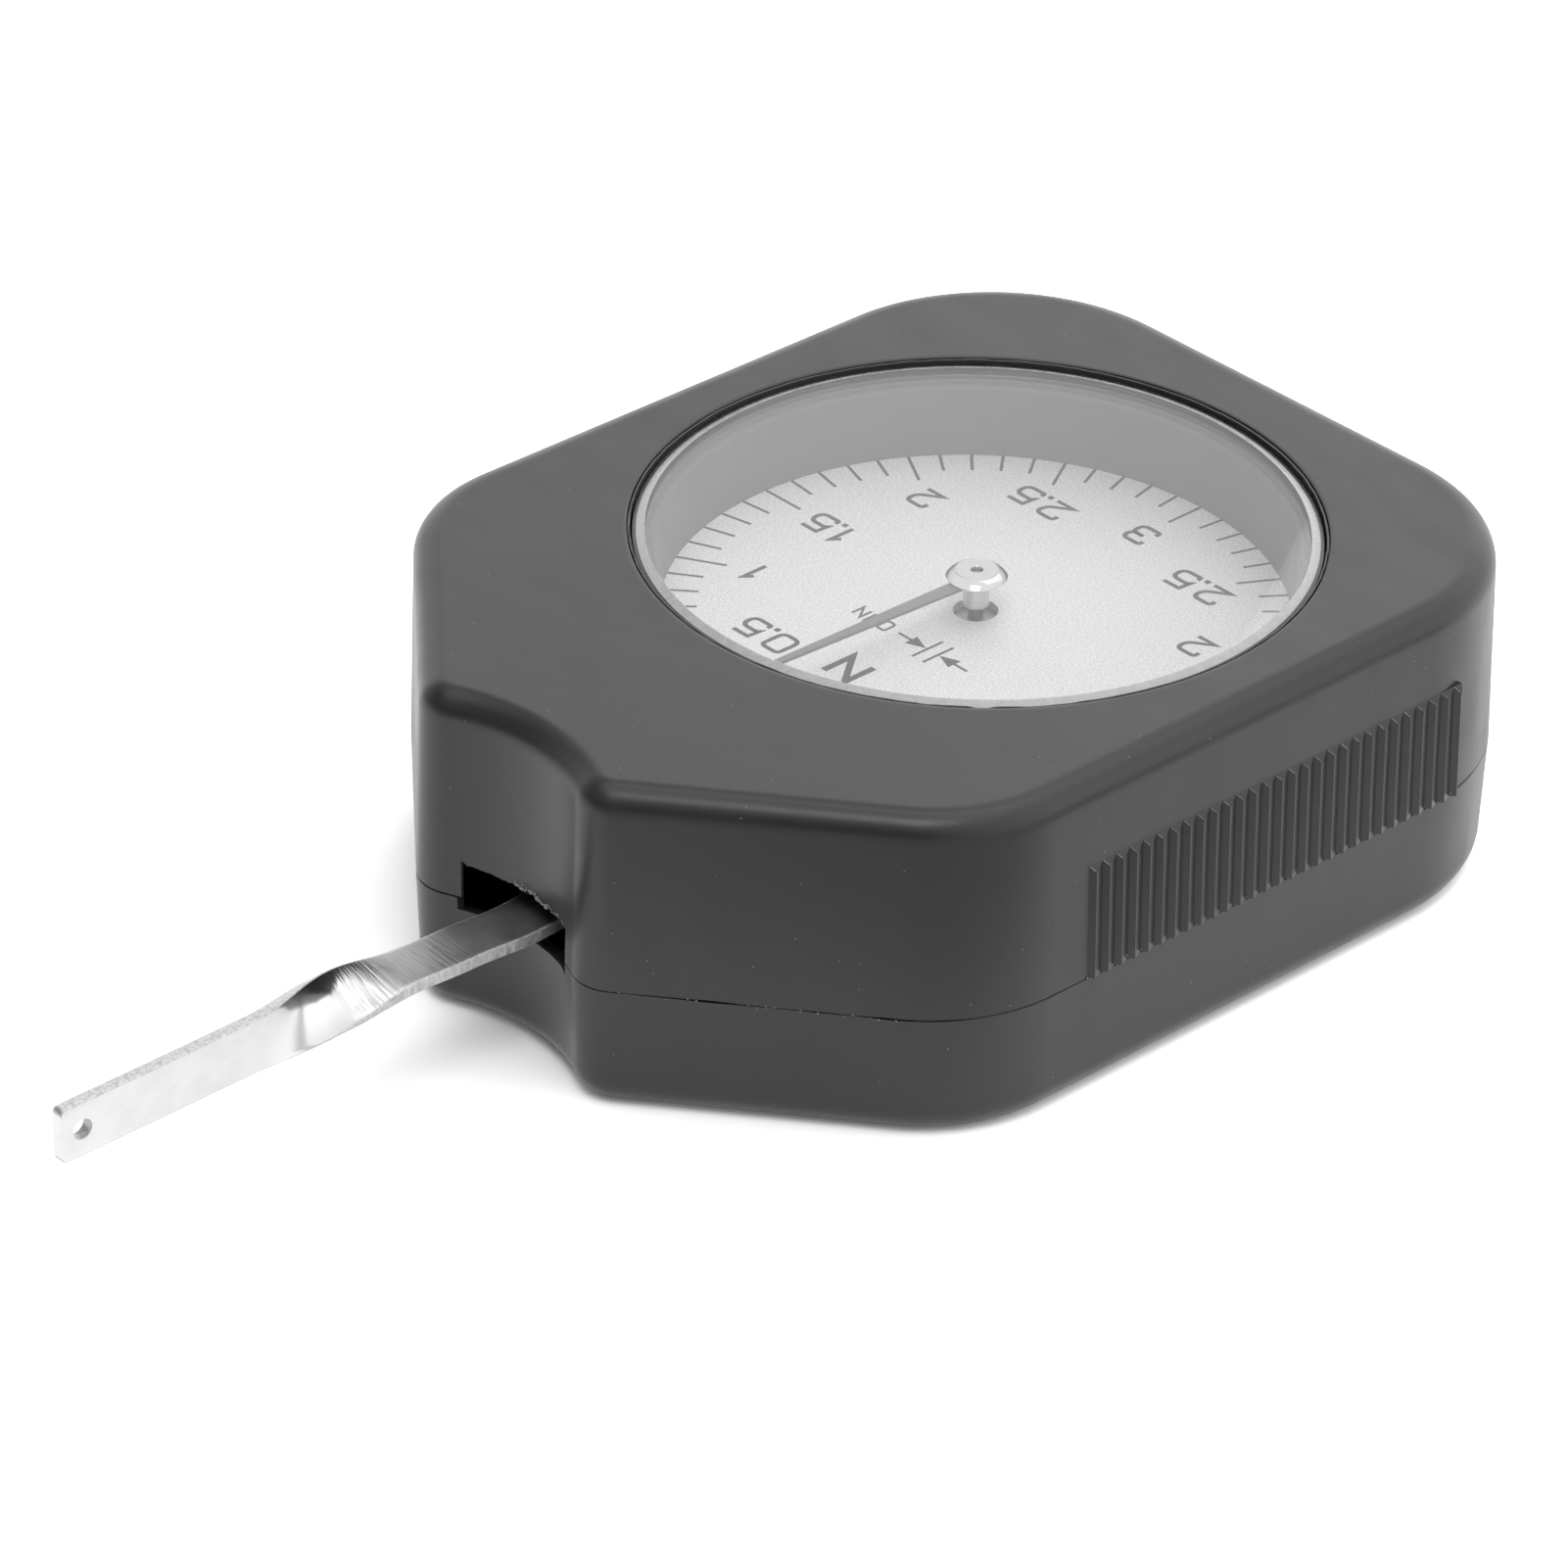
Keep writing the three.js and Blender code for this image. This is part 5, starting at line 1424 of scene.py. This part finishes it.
def strip_section(half_width):
    """Points round the strip's section, and for the side after each its material: 1 is cut."""
    flat, rise = half_width - STRIP_CORNER, STRIP_THICKNESS / 2 - STRIP_CORNER
    half = STRIP_THICKNESS / 2
    points, kinds = [], []
    sides = (((-flat, -half), (flat, -half), (flat, -rise)),
             ((half_width, -rise), (half_width, rise), (flat, rise)),
             ((flat, half), (-flat, half), (-flat, rise)),
             ((-half_width, rise), (-half_width, -rise), (-flat, -rise)))
    for turn, (start, end, centre) in enumerate(sides):
        steps = STRIP_EDGE_STEPS if turn % 2 else STRIP_FLAT_STEPS
        for i in range(steps):
            points.append(tuple(a + (b - a) * i / steps for a, b in zip(start, end)))
        for i in range(STRIP_CORNER_STEPS):
            angle = math.pi / 2 * (turn - 1 + i / STRIP_CORNER_STEPS)
            points.append((centre[0] + STRIP_CORNER * math.cos(angle),
                           centre[1] + STRIP_CORNER * math.sin(angle)))
        kinds += [turn % 2] * steps + [1] * STRIP_CORNER_STEPS
    return points, kinds


def strip_reaches():
    """Places along the strip of its sections, closer where it twists and at its tip."""
    reach, tip = -STRIP_HIGH.y, -STRIP_LOW.y
    reaches = []
    while reach < tip - TIP_CORNER:
        reaches.append(reach)
        reach += TWIST_STEP if FINE_SPAN[0] < reach < FINE_SPAN[1] else STRIP_STEP
    return reaches + [tip - TIP_CORNER * (1 - along) for _, along in quarter(TIP_STEPS)]


def arm_strip():
    """The strip, flat in the case and twisted upright outside it, with a hole at its tip."""
    sections = []
    for reach in strip_reaches():
        turn, shift, half_width = twist_at(reach), strip_shift(reach), strip_half_width(reach)
        outline, kinds = strip_section(half_width)
        section = []
        for x, z in outline:
            if abs(x) > half_width - STRIP_CORNER / 2:
                nick = fields.noise(Vector((reach * 1.3, z * 2, x))) - NICK_LEVEL
                x -= math.copysign(max(0.0, nick) * EDGE_NICKS, x)
            section.append((x * math.cos(turn) + z * math.sin(turn) + shift, -reach,
                            STRIP_MIDDLE - x * math.sin(turn) + z * math.cos(turn)))
        sections.append(section)
    kinds = kinds * (len(sections) - 1) + [0, 0]
    made = mesh_object("twisted_strip", *sweep(sections), [ARM, ARM_EDGE], kinds)
    end = STRIP_WIDTH / 2 + OVERRUN
    hole = lathe("hole", [(0, -end), (TIP_HOLE_RADIUS, -end), (TIP_HOLE_RADIUS, end), (0, end)],
                 SMALL_SEGMENTS, [ARM_EDGE])
    hole.data.transform(Matrix.Rotation(math.pi / 2, 4, "Y"))
    boolean(made, "DIFFERENCE", moved(hole, 0, STRIP_LOW.y + TIP_HOLE_INSET, STRIP_MIDDLE))
    middle = (SHAFT_LOW + SHAFT_HIGH) / 2
    radius = (SHAFT_HIGH.x - SHAFT_LOW.x) / 2 + FIT_GAP
    boolean(made, "DIFFERENCE", rod(radius, STRIP_MIDDLE - OVERRUN, STRIP_MIDDLE + OVERRUN,
                                    middle.xy))
    return smooth(made)


# Assembly of the pieces

def add_piece(piece, body, slot, *replaced):
    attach(piece, body)
    if replaced:
        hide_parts(*replaced)


add_piece(case_front(), "case", "case_plastic", "case_front")
add_piece(case_back(), "case", "case_plastic", "case_back")
add_piece(burrs_and_rib_highlights(), "case", "case_plastic")
for index, screw_place in enumerate(middles("case_screw", 4), start=1):
    add_piece(case_screw(f"back_screw_{index}", screw_place), "case", "steel",
              f"case_screw_{index}")
add_piece(window_lens(), "case", "clear_plastic", "window_lens")
add_piece(dial_ring(), "case", "ring_plastic", "dial_ring")
add_piece(dial_plate(), "case", "dial_silver", "dial_plate")
for marks in (scale_ticks(), scale_numbers(), unit_marks()):
    add_piece(marks, "case", "needle_paint")
add_piece(pointer_hub(), "pointer", "nickel", "pointer_hub")
add_piece(pointer_needle(), "pointer", "needle_paint", "pointer_needle")
add_piece(pointer_arbor(), "pointer", "blackened_steel", "pointer_arbor")
add_piece(arm_strip(), "arm", "arm_steel", "arm_strip")

# Finishes of the pieces that keep their solids
SLOT_OF = {part["node"]: part["material_slot"] for part in frame["record"]["subparts"]}
for node_name, node_object in frame["nodes"].items():
    if not node_object.hide_render:
        coat(node_object, FINISHES[SLOT_OF[node_name]])


# Camera

CAMERA_AZIMUTH = math.radians(47.248)
CAMERA_ELEVATION = math.radians(31.765)
CAMERA_ROLL = math.radians(0.883)
CAMERA_DISTANCE = 535.35
CAMERA_TARGET = Vector((-1.101, -17.463, 10.417))
FOCAL_PIXELS = 7684.2
IMAGE_PIXELS = 1601
SENSOR_WIDTH = 36.0


def add_camera():
    away = Vector((math.sin(CAMERA_AZIMUTH) * math.cos(CAMERA_ELEVATION),
                   -math.cos(CAMERA_AZIMUTH) * math.cos(CAMERA_ELEVATION),
                   math.sin(CAMERA_ELEVATION)))
    level = Vector((math.cos(CAMERA_AZIMUTH), math.sin(CAMERA_AZIMUTH), 0))
    upright = away.cross(level)
    right = level * math.cos(CAMERA_ROLL) + upright * math.sin(CAMERA_ROLL)
    top = upright * math.cos(CAMERA_ROLL) - level * math.sin(CAMERA_ROLL)
    data = bpy.data.cameras.new("camera")
    data.sensor_width = SENSOR_WIDTH
    data.lens = FOCAL_PIXELS / IMAGE_PIXELS * SENSOR_WIDTH
    data.clip_start = 0.01
    data.clip_end = 20.0
    made = add_object("camera", data)
    turn = Matrix((right, top, away)).transposed().to_4x4()
    made.matrix_world = Matrix.Translation((CAMERA_TARGET + away * CAMERA_DISTANCE) * MM) @ turn
    bpy.context.scene.camera = made


# Studio: a white floor under soft light that comes from above, the right and behind

FLOOR_SIZE = 6.0
FLOOR_LIGHTNESS = 0.8
FLOOR_MIRRORED = 1.12
FLOOR_GLOW = 0.3
FLOOR_SEEN = 1.8
# In front of the nose's slanted wall, this way and this far in metres, the floor's colour is
# painted darker: painted shade that shows in reflections and in the light the floor gives
FLOOR_FRONT = Vector((0.9, -0.43, 0))
FLOOR_FRONT_FADE = (0.044, 0.072)
FLOOR_FRONT_PAINTED_SHADE = 0.45
# Tones round the horizon and halfway up, by azimuth in degrees from +X towards +Y
LOW_TONES = {-180: 1.0, -135: 0.1, -90: 0.0, -45: 0.05, 0: 1.0, 45: 1.45, 90: 1.3, 135: 1.9}
MIDDLE_TONES = {-135: 0.0, -45: 0.6, 45: 1.3, 135: 0.2}
OVERHEAD_TONE = 1.3
FLOOR_EDGE_ELEVATION = -4
MIDDLE_ELEVATION = 31.6
OVERHEAD_ELEVATION = 60
ELEVATION_SOFTNESS = 4
# Lamps by place and size in metres, and power in watts
LAMPS = {"key": ((-0.10, 0.42, 0.62), 0.70, 0.9), "front": ((0.22, -0.26, 0.70), 0.30, 0.9)}


def ring_tone(nodes, azimuth, tones):
    """A tone that runs evenly from each azimuth of a full ring to the next."""
    spacing = 2 * math.pi / len(tones)
    total = 0.0
    for degrees, tone in tones.items():
        apart = nodes.maths("SUBTRACT", azimuth, math.radians(degrees))
        turn = nodes.maths("ABSOLUTE", nodes.maths("WRAP", apart, math.pi, -math.pi))
        near = nodes.maths("SUBTRACT", 1.0, nodes.maths("DIVIDE", turn, spacing), clamp=True)
        total = nodes.maths("ADD", nodes.times(near, tone), total)
    return total


def add_world():
    world = bpy.data.worlds.new("studio")
    bpy.context.scene.world = world
    world.use_nodes = True
    nodes = Nodes(world.node_tree)
    nodes.tree.nodes.clear()
    way = nodes.add("ShaderNodeTexCoord").outputs["Generated"]
    x, y, z = nodes.add("ShaderNodeSeparateXYZ", {"Vector": way}).outputs
    azimuth, elevation = nodes.maths("ARCTAN2", y, x), nodes.maths("ARCSINE", z)

    def above(edge):
        return nodes.ramp(elevation, math.radians(edge - ELEVATION_SOFTNESS),
                          math.radians(edge + ELEVATION_SOFTNESS))

    low = nodes.times(above(FLOOR_EDGE_ELEVATION), ring_tone(nodes, azimuth, LOW_TONES))
    middle = ring_tone(nodes, azimuth, MIDDLE_TONES)
    tone = nodes.blended(above(MIDDLE_ELEVATION), low, middle)
    tone = nodes.blended(above(OVERHEAD_ELEVATION), tone, OVERHEAD_TONE)
    strength = nodes.blended(nodes.either_ray("Camera", "Transmission"), tone, 1.0)
    shader = nodes.add("ShaderNodeBackground", {"Color": grey(1.0), "Strength": strength})
    nodes.add("ShaderNodeOutputWorld", {"Surface": shader.outputs[0]})


def add_floor():
    """A floor that looks white, lights the piece plainly and keeps its shadow, with painted shade
    in front of the nose's slanted wall.
    """
    half = FLOOR_SIZE / 2 / MM
    corners = [(x, y, 0) for x, y in rectangle(-half, -half, half, half)]
    floor = mesh_object("floor", corners, [(0, 1, 2, 3)])
    material = bpy.data.materials.new("floor")
    material.use_nodes = True
    nodes = Nodes(material.node_tree)
    nodes.tree.nodes.clear()
    mirrored = nodes.add("ShaderNodeLightPath").outputs["Is Glossy Ray"]
    place = nodes.add("ShaderNodeTexCoord").outputs["Object"]
    forward = nodes.add("ShaderNodeVectorMath", {0: place, 1: FLOOR_FRONT},
                        operation="DOT_PRODUCT").outputs["Value"]
    # Darker floor colour in front of the nose's slanted wall, for all rays but camera rays:
    # painted shade
    share = nodes.ramp(forward, *FLOOR_FRONT_FADE, 1.0, FLOOR_FRONT_PAINTED_SHADE)
    given = nodes.times(share, nodes.maths(
        "ADD", FLOOR_LIGHTNESS, nodes.times(mirrored, FLOOR_MIRRORED - FLOOR_LIGHTNESS)))
    tone = nodes.blended(nodes.either_ray("Camera", "Transmission"), given, FLOOR_SEEN)
    colour = nodes.add("ShaderNodeCombineColor", {0: tone, 1: tone, 2: tone})
    lit = nodes.add("ShaderNodeBsdfDiffuse", {"Color": colour.outputs[0]})
    # The floor's glow in reflections is lowered there too, as part of the painted shade
    glow = nodes.times(mirrored, nodes.times(share, FLOOR_GLOW))
    bright = nodes.add("ShaderNodeEmission", {"Strength": glow})
    both = nodes.add("ShaderNodeAddShader", {0: lit.outputs[0], 1: bright.outputs[0]})
    nodes.add("ShaderNodeOutputMaterial", {"Surface": both.outputs[0]})
    coat(floor, material)


def add_lamps():
    for name, (place, size, power) in LAMPS.items():
        data = bpy.data.lights.new(name, "AREA")
        data.size = size
        data.energy = power
        aim = Vector(place).to_track_quat("Z", "Y").to_matrix().to_4x4()
        add_object(name, data).matrix_world = Matrix.Translation(place) @ aim


add_camera()
add_world()
add_floor()
add_lamps()
bpy.context.scene.view_settings.view_transform = "Standard"
